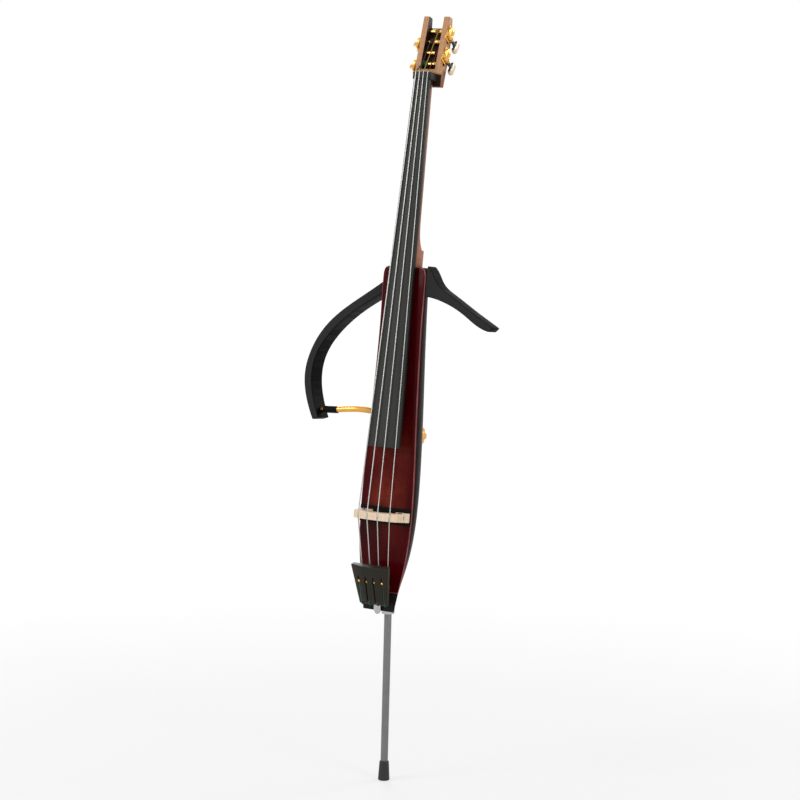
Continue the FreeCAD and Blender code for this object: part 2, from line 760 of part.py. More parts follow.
def screw_spots():
    edge = PLATE_HALF_W - PLATE_SCREW_INSET
    return [V(0, -edge, edge), V(0, edge, edge)]


def machine_screws(side, z):
    frame = plate_frame(z)
    x0 = side * (HEAD_HALF + PLATE_THICK)
    solids = []
    for spot in screw_spots():
        head = rod(PLATE_SCREW_RADIUS, V(x0 - side * PLATE_THICK, 0, 0) + spot, V(x0, 0, 0) + spot)
        solids.append(put(head, frame))
    return solids


def worm_solid(side, z):
    """The worm and its shaft, in one piece."""
    centre, heading = machine_points(side, z)
    half = WORM_LENGTH / 2
    end = half + EAR_GAP + EAR_THICK
    solid = rod(WORM_RADIUS, centre - heading * half, centre + heading * half)
    return solid.fuse(rod(SHAFT_RADIUS, centre - heading * (end + SHAFT_STUB), centre + heading * KEY_REACH))


def key_solid(side, z):
    """The butterfly key and its collar, on the shaft's end."""
    centre, heading = machine_points(side, z)
    turn = FreeCAD.Rotation(V(0, 1, 0), heading)
    start = WORM_LENGTH / 2 + EAR_GAP + EAR_THICK + EAR_GAP
    frame = FreeCAD.Placement(centre, turn)
    collar = rod(COLLAR_RADIUS, V(0, start, 0), V(0, start + COLLAR_LENGTH, 0))
    low = start + COLLAR_LENGTH
    high = low + KEY_LENGTH
    half = KEY_SPAN / 2
    waist = KEY_THICK
    broad = low + KEY_SHOULDER
    ends = [V(0, low, -waist / 2), V(0, broad, -half), V(0, high, KEY_DOME - half), V(0, high + KEY_DOME, 0),
            V(0, high, half - KEY_DOME), V(0, broad, half), V(0, low, waist / 2)]
    curve = spline(ends)
    wings = slab([curve, line(ends[-1], ends[0])], V(KEY_THICK, 0, 0))
    wings.translate(V(-KEY_THICK / 2, 0, 0))
    solid = put(collar.fuse(wings), frame)
    return solid.cut(rod(SHAFT_RADIUS, centre, centre + heading * KEY_REACH)).removeSplitter()


def build_machines(parts):
    plates = []
    screws = []
    for name, side, z in MACHINES:
        plates.append(plate_solid(side, z))
        screws += machine_screws(side, z)
        parts["tuner_post_" + name] = put(post_solid(side, z), HEAD)
        parts["tuner_worm_" + name] = put(worm_solid(side, z), HEAD)
        parts["tuner_key_" + name] = put(key_solid(side, z), HEAD)
    parts["tuner_plates"] = put(Part.makeCompound(plates), HEAD)
    parts["tuner_screws"] = put(Part.makeCompound(screws), HEAD)


# Strings and tailpiece


def nut_point(across, radius):
    """The string's centre where it leaves the nut's lower edge, in the neck's frame."""
    x = across * NUT_SPACING
    lift = arch_rise(x, NUT_HALF, BOARD_RADIUS) + NUT_LIFT
    return V(x, -lift, BOARD_LENGTH)


def bridge_place():
    """The bridge's place up the body, from the string length."""
    nut = BODY.inverse().multVec(NECK.multVec(nut_point(0, 0)))
    return nut.z - math.sqrt(STRING_LENGTH ** 2 - (nut.y + BRIDGE_HEIGHT) ** 2)


def crown_height(x):
    return BRIDGE_HEIGHT - BRIDGE_RADIUS + math.sqrt(BRIDGE_RADIUS ** 2 - x ** 2)


def string_points(across, radius):
    """The corners of a string's run in the row frame, from its ball end to the nut's upper edge."""
    gap = radius + SEAT_GAP / 2
    tail_x = across * TAIL_SPACING
    down = [V(tail_x, -gap, BALL_PLACE - BALL_RADIUS - SEAT_GAP / 2), V(tail_x, -gap, -gap),
            V(tail_x, TAIL_THICK + gap, -gap), V(tail_x, TAIL_THICK + gap, TAIL_REST)]
    points = [TAIL.multVec(p) for p in down]
    x = across * BRIDGE_SPACING
    points.append(BODY.multVec(V(x, -crown_height(x), bridge_place())))
    leave = nut_point(across, radius)
    points.append(NECK.multVec(leave))
    points.append(NECK.multVec(leave + V(0, 0, NUT_THICK)))
    return points


def crown_groove(across, radius):
    """The room that a string needs over the bridge, open at the front."""
    corners = string_points(across, radius)[3:6]
    room = tube(bend_path(corners, [3 * STRING_BEND]), radius + SEAT_GAP)
    wide = X_AXIS * (radius + 2 * SEAT_GAP)
    front = BODY.Rotation.multVec(V(0, -BRIDGE_HEIGHT, 0))
    for low, high in zip(corners, corners[1:]):
        room = room.fuse(prism([low, high, high + front, low + front], -wide, wide * 2))
    return room


def string_edges(name, across, radius):
    """The string's route in the row frame, from its ball end to its last turn on the post."""
    points = string_points(across, radius)
    wrap = TAIL_THICK / 2 + radius + SEAT_GAP / 2
    radii = [wrap, wrap, 2 * STRING_BEND, 3 * STRING_BEND, 3 * STRING_BEND, STRING_BEND]
    side, z = [(m[1], m[2]) for m in MACHINES if m[0] == name][0]
    wind = DRUM_RADIUS + radius + WIND_SEAT
    step = 2 * radius + WIND_GAP
    drum_x = across * NUT_SPACING * DRUM_SHARE + side * step * WIND_TURNS / 2
    start = HEAD.inverse().multVec(points[-1])
    reach = V(0, POST_DEPTH - start.y, z - start.z)
    away = math.asin(wind / math.hypot(reach.y, reach.z))
    heading = math.atan2(reach.z, reach.y) + away
    touch = heading + math.pi / 2

    def on_drum(turn):
        angle = touch - turn
        return V(drum_x - side * step * turn / (2 * math.pi), POST_DEPTH + wind * math.cos(angle),
                 z + wind * math.sin(angle))

    points.append(HEAD.multVec(on_drum(0)))
    edges = bend_path(points, radii)
    quarter = math.pi / 2
    for k in range(4 * WIND_TURNS):
        a, b, c = [HEAD.multVec(on_drum(quarter * (k + part))) for part in (0, 0.5, 1)]
        edges.append(arc(a, b, c))
    return edges


def tail_frame_solid():
    """The tailpiece before its grooves, in its own frame."""
    t = TAIL_THICK
    r = t / 2
    x0 = -TAIL_TOP_HALF - PAST
    a, b, c = V(x0, t, TAIL_LENGTH), V(x0, t, r), V(x0, r, 0)
    d, e, f = V(x0, 0, r), V(x0, -TAIL_ARCH - PAST, r + TAIL_CHAMFER), V(x0, -TAIL_ARCH - PAST, TAIL_LENGTH)
    side = slab([line(a, b), arc(b, c, d), line(d, e), line(e, f), line(f, a)], V(-2 * x0, 0, 0))
    wires = []
    for z, half in ((-PAST, TAIL_BOTTOM_HALF), (TAIL_LENGTH + PAST, TAIL_TOP_HALF)):
        a, b = V(-half, TAIL_LIP, z), V(half, TAIL_LIP, z)
        c, d = V(half - TAIL_EDGE, t + PAST, z), V(TAIL_EDGE - half, t + PAST, z)
        wires.append(Part.Wire([arc(a, V(0, -TAIL_ARCH, z), b), line(b, c), line(c, d), line(d, a)]))
    return side.common(Part.makeLoft(wires, True, True))


def build_tailpiece(parts):
    solid = tail_frame_solid()
    balls = []
    for name, across, radius in STRINGS:
        x = across * TAIL_SPACING
        wide = radius + FREE_GAP
        solid = solid.cut(box(x - wide, x + wide, -BEYOND, 0, -PAST, BALL_PLACE))
        pocket = rod(BALL_RADIUS + FREE_GAP, V(x, -BEYOND, BALL_PLACE), V(x, BALL_RADIUS - PAST, BALL_PLACE))
        solid = solid.cut(pocket)
        slot = box(x - wide, x + wide, -BEYOND, BALL_RADIUS, BALL_PLACE, BALL_PLACE + BALL_SLOT)
        solid = solid.cut(slot)
        balls.append(Part.makeSphere(BALL_RADIUS, V(x, -radius, BALL_PLACE)))
        edges = string_edges(name, across, radius)
        string = tube(edges, radius)
        length = sum(edge.Length for edge in edges)
        share = string.Volume / (math.pi * radius ** 2 * length)
        bends = [edge.Curve.Radius for edge in edges if hasattr(edge.Curve, "Radius")]
        print("string", name, "length", round(length, 1), "volume share", round(share, 4),
              "least bend", round(min(bends), 2), "turn gap", WIND_GAP)
        parts["string_" + name] = string
    posts = []
    for x in (-TAIL_POST_X, TAIL_POST_X):
        foot = BODY.inverse().multVec(TAIL.multVec(V(x, TAIL_THICK, TAIL_POST_PLACE)))
        post = outwards(TAIL_POST_RADIUS, x, foot.z, foot.y - TAIL_THICK, 0)
        flange = outwards(TAIL_POST_RADIUS + FLANGE_PAST, x, foot.z, -FLANGE_THICK, 0)
        posts.append(put(post.fuse(flange).removeSplitter(), BODY))
    behind = put(box(-BEYOND, BEYOND, TAIL_THICK, BEYOND, -BEYOND, BEYOND), TAIL)
    parts["tailpiece"] = put(solid, TAIL)
    parts["tailpiece_posts"] = Part.makeCompound([post.common(behind) for post in posts])
    parts["string_balls"] = put(Part.makeCompound(balls), TAIL)


# Bridge


def bridge_crown():
    """The upper part of the bridge, in the body's frame with the bridge's middle at height zero."""
    def p(x, h):
        return V(x, -h, 0)

    edges = []
    for side in (-1, 1):
        leg_in, leg_out = p(side * LEG_INNER, LEG_BOTTOM), p(side * LEG_OUTER, LEG_BOTTOM)
        waist, ear = p(side * (EAR_HALF - WAIST[0]), EAR_HEIGHT - WAIST[1]), p(side * EAR_HALF, EAR_HEIGHT)
        crown = p(side * CROWN_HALF, crown_height(CROWN_HALF))
        toe = p(side * LEG_OUTER, LEG_BOTTOM + LEG_TOE)
        scoop = p(side * (LEG_OUTER - LEG_SCOOP[0]), LEG_BOTTOM + LEG_SCOOP[1])
        edges += [line(leg_in, leg_out), line(leg_out, toe), arc(toe, scoop, waist), line(waist, ear),
                  line(ear, crown)]
    ends = [p(side * CROWN_HALF, crown_height(CROWN_HALF)) for side in (-1, 1)]
    edges.append(arc(ends[0], p(0, BRIDGE_HEIGHT), ends[1]))
    edges.append(arc(p(-LEG_INNER, LEG_BOTTOM), p(0, ARCH_HEIGHT), p(LEG_INNER, LEG_BOTTOM)))
    half = BRIDGE_BASE_THICK / 2
    face = slab(edges, V(0, 0, 2 * half))
    face.translate(V(0, 0, -half))
    top = BRIDGE_CROWN_THICK / 2
    x = -LEG_OUTER - PAST
    high = -BRIDGE_HEIGHT - PAST
    wedge = [V(x, 0, -half), V(x, 0, half), V(x, high, top), V(x, high, -top)]
    face = face.common(prism(wedge, V(0, 0, 0), V(-2 * x, 0, 0)))
    down = V(0, 0, -BRIDGE_BASE_THICK)
    up = V(0, 0, BRIDGE_BASE_THICK)
    face = face.cut(rod(BRIDGE_EYE, p(0, BRIDGE_EYE_HEIGHT) + down, p(0, BRIDGE_EYE_HEIGHT) + up))
    for side in (-1, 1):
        x = side * WHEEL_X
        face = face.cut(rod(WHEEL_POST + RUN_FIT, p(x, 0), p(x, WHEEL_POST_TOP + CROWN_DROP + PAST)))
    return face


def bridge_foot(side):
    def p(x, h):
        return V(side * x, -h, -BRIDGE_BASE_THICK / 2)

    outline = [p(LEG_INNER, BASE_THICK), p(FOOT_OUTER, BASE_THICK), p(FOOT_OUTER, FOOT_TOE),
               p(LEG_OUTER - FOOT_INSET, FOOT_TOP), p(LEG_INNER + FOOT_INSET, FOOT_TOP),
               p(LEG_INNER, FOOT_TOE)]
    solid = prism(outline, V(0, 0, 0), V(0, 0, BRIDGE_BASE_THICK))
    x = side * WHEEL_X
    low, high = SEAT_GAP - WHEEL_POST_LOW, -FOOT_TOP - PAST
    return solid.cut(rod(WHEEL_POST + RUN_FIT, V(x, low, 0), V(x, high, 0)))


def bridge_wheel(side):
    x = side * WHEEL_X
    low = FOOT_TOP + SEAT_GAP
    wheel = rod(WHEEL_RADIUS, V(x, -low, 0), V(x, -low - WHEEL_THICK, 0))
    for k in range(WHEEL_NOTCHES):
        angle = 2 * math.pi * k / WHEEL_NOTCHES
        notch = V(x + WHEEL_RADIUS * math.cos(angle), 0, WHEEL_RADIUS * math.sin(angle))
        near, far = V(0, PAST - low, 0), V(0, -low - WHEEL_THICK - PAST, 0)
        wheel = wheel.cut(rod(NOTCH_RADIUS, notch + near, notch + far))
    return wheel.fuse(rod(WHEEL_POST, V(x, -WHEEL_POST_LOW, 0), V(x, -WHEEL_POST_TOP, 0)))


def build_bridge(parts):
    spot = BODY.multiply(FreeCAD.Placement(V(0, 0, bridge_place()), FreeCAD.Rotation()))
    base = box(-BASE_HALF, BASE_HALF, -BASE_THICK, 0, -BASE_REACH, BASE_REACH)
    discs = []
    for side in (-1, 1):
        x = side * WHEEL_X
        disc = rod(PIEZO_RADIUS, V(x, -BASE_THICK, 0), V(x, PIEZO_THICK - BASE_THICK, 0))
        base = base.cut(disc)
        discs.append(disc)
    base = base.cut(rod(LEAD_RADIUS + FREE_GAP, V(WHEEL_X, -BASE_THICK, 0), V(WHEEL_X, PAST, 0)))
    parts["pickup_base"] = put(base, spot)
    parts["piezo_discs"] = put(Part.makeCompound(discs), spot)
    crown = put(bridge_crown(), spot)
    for name, across, radius in STRINGS:
        crown = crown.cut(crown_groove(across, radius))
    parts["bridge_crown"] = crown
    parts["bridge_feet"] = put(Part.makeCompound([bridge_foot(-1), bridge_foot(1)]), spot)
    parts["bridge_wheel_left"] = put(bridge_wheel(-1), spot)
    parts["bridge_wheel_right"] = put(bridge_wheel(1), spot)


# Endpin


def build_endpin(parts):
    top = SLEEVE_TOP + SEAT_GAP + STOP_HEIGHT
    base = FOOT_HEIGHT - FOOT_SOCKET
    pin = ring(PIN_RADIUS, PIN_RADIUS - PIN_WALL, V(0, 0, base), V(0, 0, top))
    stop = ring(STOP_RADIUS, PIN_RADIUS + RUN_FIT, V(0, 0, top - STOP_HEIGHT), V(0, 0, top))
    foot = Part.makeCone(FOOT_BOTTOM_RADIUS, FOOT_TOP_RADIUS, FOOT_HEIGHT)
    foot = foot.makeFillet(FOOT_FILLET, [e for e in foot.Edges if e.BoundBox.ZLength < PAST])
    sleeve = ring(SLEEVE_RADIUS, PIN_RADIUS + RUN_FIT, V(0, 0, COLLAR_BOTTOM), V(0, 0, SLEEVE_TOP))
    collar = ring(COLLAR_RING_RADIUS, SLEEVE_RADIUS, V(0, 0, COLLAR_BOTTOM), V(0, 0, BODY_BOTTOM_Z))
    shaft = tab_shaft(TAB_SHAFT, -PIN_RADIUS - FREE_GAP)
    tab = Part.makeCylinder(TAB_HALF_W, TAB_THICK, V(0, 0, 0), V(0, -1, 0))
    stretch = FreeCAD.Matrix()
    stretch.scale(1, 1, TAB_HALF_H / TAB_HALF_W)
    tab = tab.transformGeometry(stretch)
    tab.translate(V(0, TAB_THICK - TAB_FORWARD, TAB_HEIGHT_Z))
    parts["endpin_tube"] = Part.makeCompound([pin, stop])
    parts["endpin_foot"] = foot.cut(rod(PIN_RADIUS, V(0, 0, base), V(0, 0, FOOT_HEIGHT + PAST)))
    parts["endpin_sleeve"] = sleeve.cut(tab_shaft(TAB_SHAFT + RUN_FIT, 0))
    parts["endpin_collar"] = collar
    parts["endpin_thumbscrew"] = shaft.fuse(tab).removeSplitter()


# Frames and brace


def frame_solid(outer, inner, depth):
    """A frame on a curved outline, running back from the front by its depth."""
    y = FRAME_FRONT
    out = [V(x, y, z * UP) for x, z in outer]
    into = [V(x, y, z * UP) for x, z in inner]
    edges = [spline(out), line(out[-1], into[0]), spline(into), line(into[-1], out[0])]
    return slab(edges, V(0, depth, 0))


def build_frames(parts):
    hull = body_loft(FREE_GAP)
    wide = BODY_STATIONS[-1][1] + SHOULDER_CLEAR
    clear = hull.fuse(box(-wide, wide, -BEYOND, BEYOND, BODY_LENGTH - PAST, BEYOND))
    points = [V(x, y, s * UP) for x, y, s in BRACE_POINTS]
    left = frame_solid(LEFT_OUTER, LEFT_INNER, LEFT_FRAME_DEPTH).cut(clear)
    right = frame_solid(RIGHT_OUTER, RIGHT_INNER, RIGHT_FRAME_DEPTH).cut(clear)
    heading = (points[1] - points[0]).normalize()
    left = left.cut(rod(BRACE_RADIUS, points[0], points[0] + heading * BRACE_SOCKET))
    left_pins = frame_pins(-1, LEFT_PINS, 0)
    right_pins = frame_pins(1, RIGHT_PINS, 0)
    for pin in left_pins:
        left = left.cut(pin)
    for pin in right_pins:
        right = right.cut(pin)
    bar = tube(bend_path(points, safe_radii(points)), BRACE_RADIUS)
    back = BOSS_FACE + SEAT_GAP
    fork = box(FORK_LEFT, FORK_RIGHT, back, back + FORK_THICK, CLAMP_S - FORK_HALF, CLAMP_S + FORK_HALF)
    near, far = back - PAST, back + FORK_THICK + PAST
    slot = box(-FORK_SLOT, FORK_RIGHT + PAST, near, far, CLAMP_S - FORK_SLOT, CLAMP_S + FORK_SLOT)
    fork = fork.cut(slot.fuse(outwards(FORK_SLOT, -FORK_SLOT, CLAMP_S, near, far)))
    ferrule_start = points[1] - heading * FERRULE_BACK
    ferrule = rod(FERRULE_RADIUS, ferrule_start, ferrule_start + heading * FERRULE_LENGTH)
    parts["left_frame"] = put(left, BODY)
    parts["right_frame"] = put(right, BODY)
    parts["left_frame_pins"] = put(Part.makeCompound(left_pins), BODY)
    parts["right_frame_pins"] = put(Part.makeCompound(right_pins), BODY)
    parts["brace_bar"] = put(bar.fuse(fork).removeSplitter(), BODY)
    parts["brace_ferrule"] = put(ferrule.cut(bar), BODY)
    build_clamp(parts, back + FORK_THICK + FREE_GAP)


def build_clamp(parts, front):
    boss = outwards(BOSS_RADIUS, 0, CLAMP_S, BOSS_FACE - BOSS_SINK, BOSS_FACE)
    parts["clamp_boss"] = put(boss.cut(outwards(STUD_RADIUS + RUN_FIT, 0, CLAMP_S, 0, BEYOND)), BODY)
    knob = outwards(CLAMP_RADIUS, 0, CLAMP_S, front, front + CLAMP_THICK)
    for k in range(CLAMP_LOBES):
        angle = 2 * math.pi * (k + 0.5) / CLAMP_LOBES
        reach = CLAMP_RADIUS + LOBE_OUT
        spot = V(reach * math.cos(angle), front - PAST, CLAMP_S + reach * math.sin(angle))
        knob = knob.cut(rod(LOBE_RADIUS, spot, spot + V(0, CLAMP_THICK + 2 * PAST, 0)))
    stud = outwards(STUD_RADIUS, 0, CLAMP_S, front - STUD_LENGTH, front + PAST)
    parts["clamp_knob"] = put(knob.fuse(stud).removeSplitter(), BODY)


# Controls and electronics


def build_controls(parts):
    face = LAND_FACE
    ends = (LAND_START + PANEL_INSET[0], LAND_END - PANEL_INSET[1])
    panel = box(-LAND_HALF, LAND_HALF, face, face + PANEL_THICK, *ends)
    half = WELL_HALF - CIRCUIT_INSET
    top = CIRCUIT_PLACE + CIRCUIT_THICK
    circuit = box(-half, half, CIRCUIT_PLACE, top, circuit_start(), KNOB_PLACES[-1][1] + CIRCUIT_PAST)
    pots = []
    for name, s in KNOB_PLACES:
        pot = outwards(POT_RADIUS, 0, s, top, face)
        pots.append(pot.cut(outwards(KNOB_SHAFT + RUN_FIT, 0, s, POT_FLOOR - SEAT_GAP, face + PAST)))
        panel = panel.cut(outwards(KNOB_SHAFT + RUN_FIT, 0, s, face - PAST, BEYOND))
        low = face + PANEL_THICK + FREE_GAP
        knob = outwards(KNOB_RADIUS, 0, s, low, low + KNOB_HEIGHT)
        knob = knob.makeFillet(KNOB_FILLET, [e for e in knob.Edges if e.BoundBox.YMin > low + PAST])
        shaft = outwards(KNOB_SHAFT, 0, s, POT_FLOOR, low + PAST)
        parts["knob_" + name] = put(knob.fuse(shaft).removeSplitter(), BODY)
    for name, s, bore in JACK_PLACES:
        panel = panel.cut(outwards(JACK_BARREL, 0, s, face - PAST, BEYOND))
        high = face + PANEL_THICK + JACK_FLANGE
        barrel = outwards(JACK_BARREL, 0, s, high - JACK_LENGTH, high)
        flange = outwards(JACK_BARREL + JACK_FLANGE, 0, s, face + PANEL_THICK, high)
        hole = outwards(bore, 0, s, high - JACK_LENGTH + JACK_FLANGE, high + PAST)
        parts[name] = put(barrel.fuse(flange).cut(hole).removeSplitter(), BODY)
    screws = []
    out = LAND_HALF - PANEL_SCREW_INSET
    ends = (LAND_START + PANEL_SCREW_ENDS[0], LAND_END - PANEL_SCREW_ENDS[1])
    for x, s in [(x, s) for x in (-out, out) for s in ends]:
        panel = panel.cut(outwards(PANEL_SCREW_SHANK, x, s, face - PAST, BEYOND))
        seat = face + PANEL_THICK
        head = outwards(PANEL_SCREW_RADIUS, x, s, seat, seat + PANEL_SCREW_HEAD)
        shank = outwards(PANEL_SCREW_SHANK, x, s, face, seat)
        screws.append(put(head.fuse(shank).removeSplitter(), BODY))
    parts["control_plate"] = put(panel, BODY)
    parts["preamp_board"] = put(Part.makeCompound([circuit.fuse(pots).removeSplitter()]), BODY)
    parts["panel_screws"] = Part.makeCompound(screws)
    build_battery(parts)
    build_lead(parts)


def circuit_start():
    return KNOB_PLACES[0][1] - CIRCUIT_PAST


def build_battery(parts):
    wide, deep, long = [v / 2 for v in BATTERY_SIZE]
    top = BATTERY_FACE - BATTERY_SLACK
    mid = top - deep
    w = BOX_WALL
    low, high = BATTERY_MID - long, BATTERY_MID + long
    cell = box(-wide, wide, mid - deep, mid + deep, low, high)
    shell = box(-wide - w, wide + w, mid - deep - w, BATTERY_FACE, low - w, high + w)
    shell = shell.cut(box(-wide, wide, mid - deep, BATTERY_FACE + PAST, low, high))
    door = box(-DOOR_HALF_W, DOOR_HALF_W, BATTERY_FACE, BATTERY_FACE + DOOR_THICK,
               BATTERY_MID - DOOR_HALF_L, BATTERY_MID + DOOR_HALF_L)
    parts["battery"] = put(cell, BODY)
    parts["battery_box"] = put(shell, BODY)
    parts["battery_door"] = put(door, BODY)


def build_lead(parts):
    """The pickup lead inside the body, from the right piezo disc to the circuit board."""
    s = bridge_place()
    run = circuit_start() - s
    points = [V(WHEEL_X, PIEZO_THICK - BASE_THICK, s)]
    points += [V(WHEEL_X - inwards, y, s + run * share) for inwards, y, share in LEAD_CORNERS]
    points.append(V(WHEEL_X - LEAD_END[0], CIRCUIT_PLACE + LEAD_END[1], s + run))
    edges = bend_path(points, safe_radii(points))
    parts["pickup_lead"] = put(tube(edges, LEAD_RADIUS), BODY)


def build_all():
    parts = {}
    build_body(parts)
    build_neck(parts)
    build_machines(parts)
    build_tailpiece(parts)
    build_bridge(parts)
    build_endpin(parts)
    build_frames(parts)
    build_controls(parts)
    return parts


os.makedirs("parts", exist_ok=True)
for node, shape in build_all().items():
    shape.exportStep(os.path.join("parts", node + ".step"))
    state = "valid" if shape.isValid() else "NOT VALID"
    print(node, len(shape.Solids), "solids", state, round(shape.Volume))
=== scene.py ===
import bmesh
import bpy
import json
import math
from mathutils import Matrix, Quaternion, Vector


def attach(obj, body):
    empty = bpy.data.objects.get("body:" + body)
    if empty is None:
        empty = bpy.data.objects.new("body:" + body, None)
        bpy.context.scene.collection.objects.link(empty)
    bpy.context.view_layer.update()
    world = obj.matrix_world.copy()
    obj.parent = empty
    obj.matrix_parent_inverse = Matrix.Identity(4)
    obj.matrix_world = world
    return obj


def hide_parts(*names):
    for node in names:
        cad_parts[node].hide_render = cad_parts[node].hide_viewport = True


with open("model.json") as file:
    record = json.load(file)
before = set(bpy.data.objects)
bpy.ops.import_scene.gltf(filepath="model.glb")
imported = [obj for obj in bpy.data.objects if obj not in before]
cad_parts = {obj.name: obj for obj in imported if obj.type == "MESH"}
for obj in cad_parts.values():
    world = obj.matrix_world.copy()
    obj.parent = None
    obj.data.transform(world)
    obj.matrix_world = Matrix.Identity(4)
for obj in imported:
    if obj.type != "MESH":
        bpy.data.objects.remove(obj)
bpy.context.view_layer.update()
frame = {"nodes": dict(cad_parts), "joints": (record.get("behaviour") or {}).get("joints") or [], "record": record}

MM = 0.001
NODES = frame["nodes"]
JOINTS = {joint["name"]: joint for joint in frame["joints"]}
BODIES = frame["record"]["behaviour"]["bodies"]
BODY_OF = {node: body for body, nodes in BODIES.items() for node in nodes}


def leaning(y, z, lean):
    """A frame that leans back by an angle in degrees, from a place in millimetres."""
    return Matrix.Translation((0, y * MM, z * MM)) @ Matrix.Rotation(-math.radians(lean), 4, "X")


BODY = leaning(-47.0, 430.0, 5.9)
NECK = BODY @ leaning(-40.7, 395.7, 3.3)
HEAD = NECK @ leaning(21.6, 908.7, 8.6)
TAIL = BODY @ leaning(-25.0, 14.0, -19.7)

# Camera, in degrees, metres and millimetres of lens
CAMERA_SIDE = 30.0
CAMERA_AWAY = 5.8
CAMERA_HEIGHT = 1.70
CAMERA_ROLL = 1.5038
CAMERA_LENS = 109.93
AIM_ACROSS = 0.0154872
AIM_HEIGHT = 0.936486

# Ends of the plain winding up the neck's frame, and the brass wire's length from the ball, in metres
TOP_SILK = 0.9035
TAIL_SILK = -0.291
BRASS_REACH = 0.0165
# Where each key's collar ends on its shaft, in metres
COLLAR_END = 0.0319
# Outer faces that small screws sit on, in millimetres
PLATE_FACE = 37.6
PANEL_FACE = 80.5

# Turned profiles, as (radius, height) in millimetres
WORM_SECTION = ((4.1, -1.25), (4.95, -0.45), (4.95, 0.45), (4.1, 1.25))
WORM_SHAFT = ((0, -12.7), (2.2, -12.7), (2.6, -12.3), (2.6, -8.0), (3.8, -8.0), (4.2, -7.6), (4.2, 7.6),
              (3.8, 8.0), (2.6, 8.0), (2.6, 47.5), (0, 47.5))
WORM_TURNS = 4
WORM_PITCH = 3.4
WORM_STEPS = 20
PLATE_SCREW = ((0, -2.4), (1.7, -2.4), (1.7, 0), (2.4, 0), (2.25, 0.45), (1.6, 0.85), (0.9, 1.0),
               (0.9, 0.55), (0, 0.55))
PANEL_SCREW = ((0, -2.4), (1.4, -2.4), (1.4, 0), (2.6, 0), (2.5, 0.6), (1.9, 1.2), (1.1, 1.4), (1.1, 0.7),
               (0, 0.7))
BALL = ((1.0, -2.6), (2.9, -2.6), (3.3, -2.2), (3.75, -0.8), (3.75, 0.8), (3.3, 2.2), (2.9, 2.6), (1.0, 2.6),
        (1.0, -2.6))
FERRULE = ((7.3, -30.0), (8.3, -30.0), (8.6, -29.6), (8.6, 8.1), (8.2, 8.5), (7.3, 8.5), (7.3, -30.0))
DIAL = ((0, -8), (3, -8), (3, 0.5), (7.6, 0.5), (7.9, 1.0), (7.2, 12.4), (6.4, 13.6), (5.6, 13.9), (0, 13.7))


class Sock:
    """A node's output, on which Python's operators add Math nodes."""

    def __init__(self, paint, socket):
        self.paint = paint
        self.socket = socket

    def maths(self, operation, *others):
        return self.paint.add("Math", {"operation": operation}, dict(enumerate((self,) + others)))

    def __add__(self, other):
        return self.maths("ADD", other)

    def __sub__(self, other):
        return self.maths("SUBTRACT", other)

    def __rsub__(self, other):
        return self.maths("MULTIPLY", -1.0) + other

    def __mul__(self, other):
        return self.maths("MULTIPLY", other)

    def __truediv__(self, other):
        return self.maths("DIVIDE", other)

    def __pow__(self, other):
        return self.maths("POWER", other)

    __radd__ = __add__
    __rmul__ = __mul__

    def size(self):
        return self.maths("ABSOLUTE")

    def sine(self):
        return self.maths("SINE")

    def most(self, other):
        return self.maths("MAXIMUM", other)

    def least(self, other):
        return self.maths("MINIMUM", other)

    def ramp(self, low, high):
        """A smooth step from 0 at low to 1 at high."""
        if low > high:
            return 1 - self.ramp(high, low)
        return self.paint.add("MapRange", {"interpolation_type": "SMOOTHSTEP"},
                              {"Value": self, "From Min": low, "From Max": high})

    def near(self, place, reach):
        """1 at a place, falling smoothly to 0 at a reach on both sides."""
        return (self - place).size().ramp(reach, 0.0)


class Paint:
    """A material with one Principled shader, in the coordinates of a given frame."""

    def __init__(self, name, space=Matrix.Identity(4), **constants):
        self.material = bpy.data.materials.new(name)
        self.material.use_nodes = True
        self.tree = self.material.node_tree
        self.shader = self.tree.nodes["Principled BSDF"]
        for socket, value in constants.items():
            self.shader.inputs[socket.replace("_", " ")].default_value = value
        place, turn, size = space.inverted().decompose()
        here = self.add("TexCoord", {}, {}, "Object")
        values = {"Vector": here, "Location": place, "Rotation": turn.to_euler()}
        self.at = self.add("Mapping", {}, values)
        split = {"Vector": self.at}
        self.x, self.y, self.z = [self.add("SeparateXYZ", {}, split, axis) for axis in "XYZ"]

    def add(self, kind, settings, values, output=0):
        node = self.tree.nodes.new("ShaderNode" + kind)
        for key, value in settings.items():
            setattr(node, key, value)
        for key, value in values.items():
            if isinstance(value, Sock):
                self.tree.links.new(value.socket, node.inputs[key])
            else:
                node.inputs[key].default_value = value
        return Sock(self, node.outputs[output])

    def stretched(self, across, back, along):
        """The coordinates, multiplied so that a pattern is drawn out."""
        return self.add("VectorMath", {"operation": "MULTIPLY"}, {0: self.at, 1: (across, back, along)})

    def noise(self, across, back, along, detail=3.0, rough=0.55, twist=0.0):
        values = {"Vector": self.stretched(across, back, along), "Scale": 1.0, "Detail": detail,
                  "Roughness": rough, "Distortion": twist}
        return self.add("TexNoise", {}, values, 0)

    def cells(self, across, back, along):
        values = {"Vector": self.stretched(across, back, along), "Scale": 1.0}
        return self.add("TexVoronoi", {}, values, 0)

    def blend(self, share, first, second):
        """A colour between two, each a colour or the result of another blend."""
        node = self.tree.nodes.new("ShaderNodeMix")
        node.data_type = "RGBA"
        for key, value in ((0, share), (6, first), (7, second)):
            if isinstance(value, Sock):
                self.tree.links.new(value.socket, node.inputs[key])
            else:
                node.inputs[key].default_value = value if key == 0 else (*value, 1.0)
        return Sock(self, node.outputs[2])

    def bump(self, height, strength, distance):
        values = {"Height": height, "Strength": strength, "Distance": distance}
        return self.add("Bump", {}, values)

    def done(self, **links):
        for socket, value in links.items():
            self.tree.links.new(value.socket, self.shader.inputs[socket.replace("_", " ")])
        return self.material


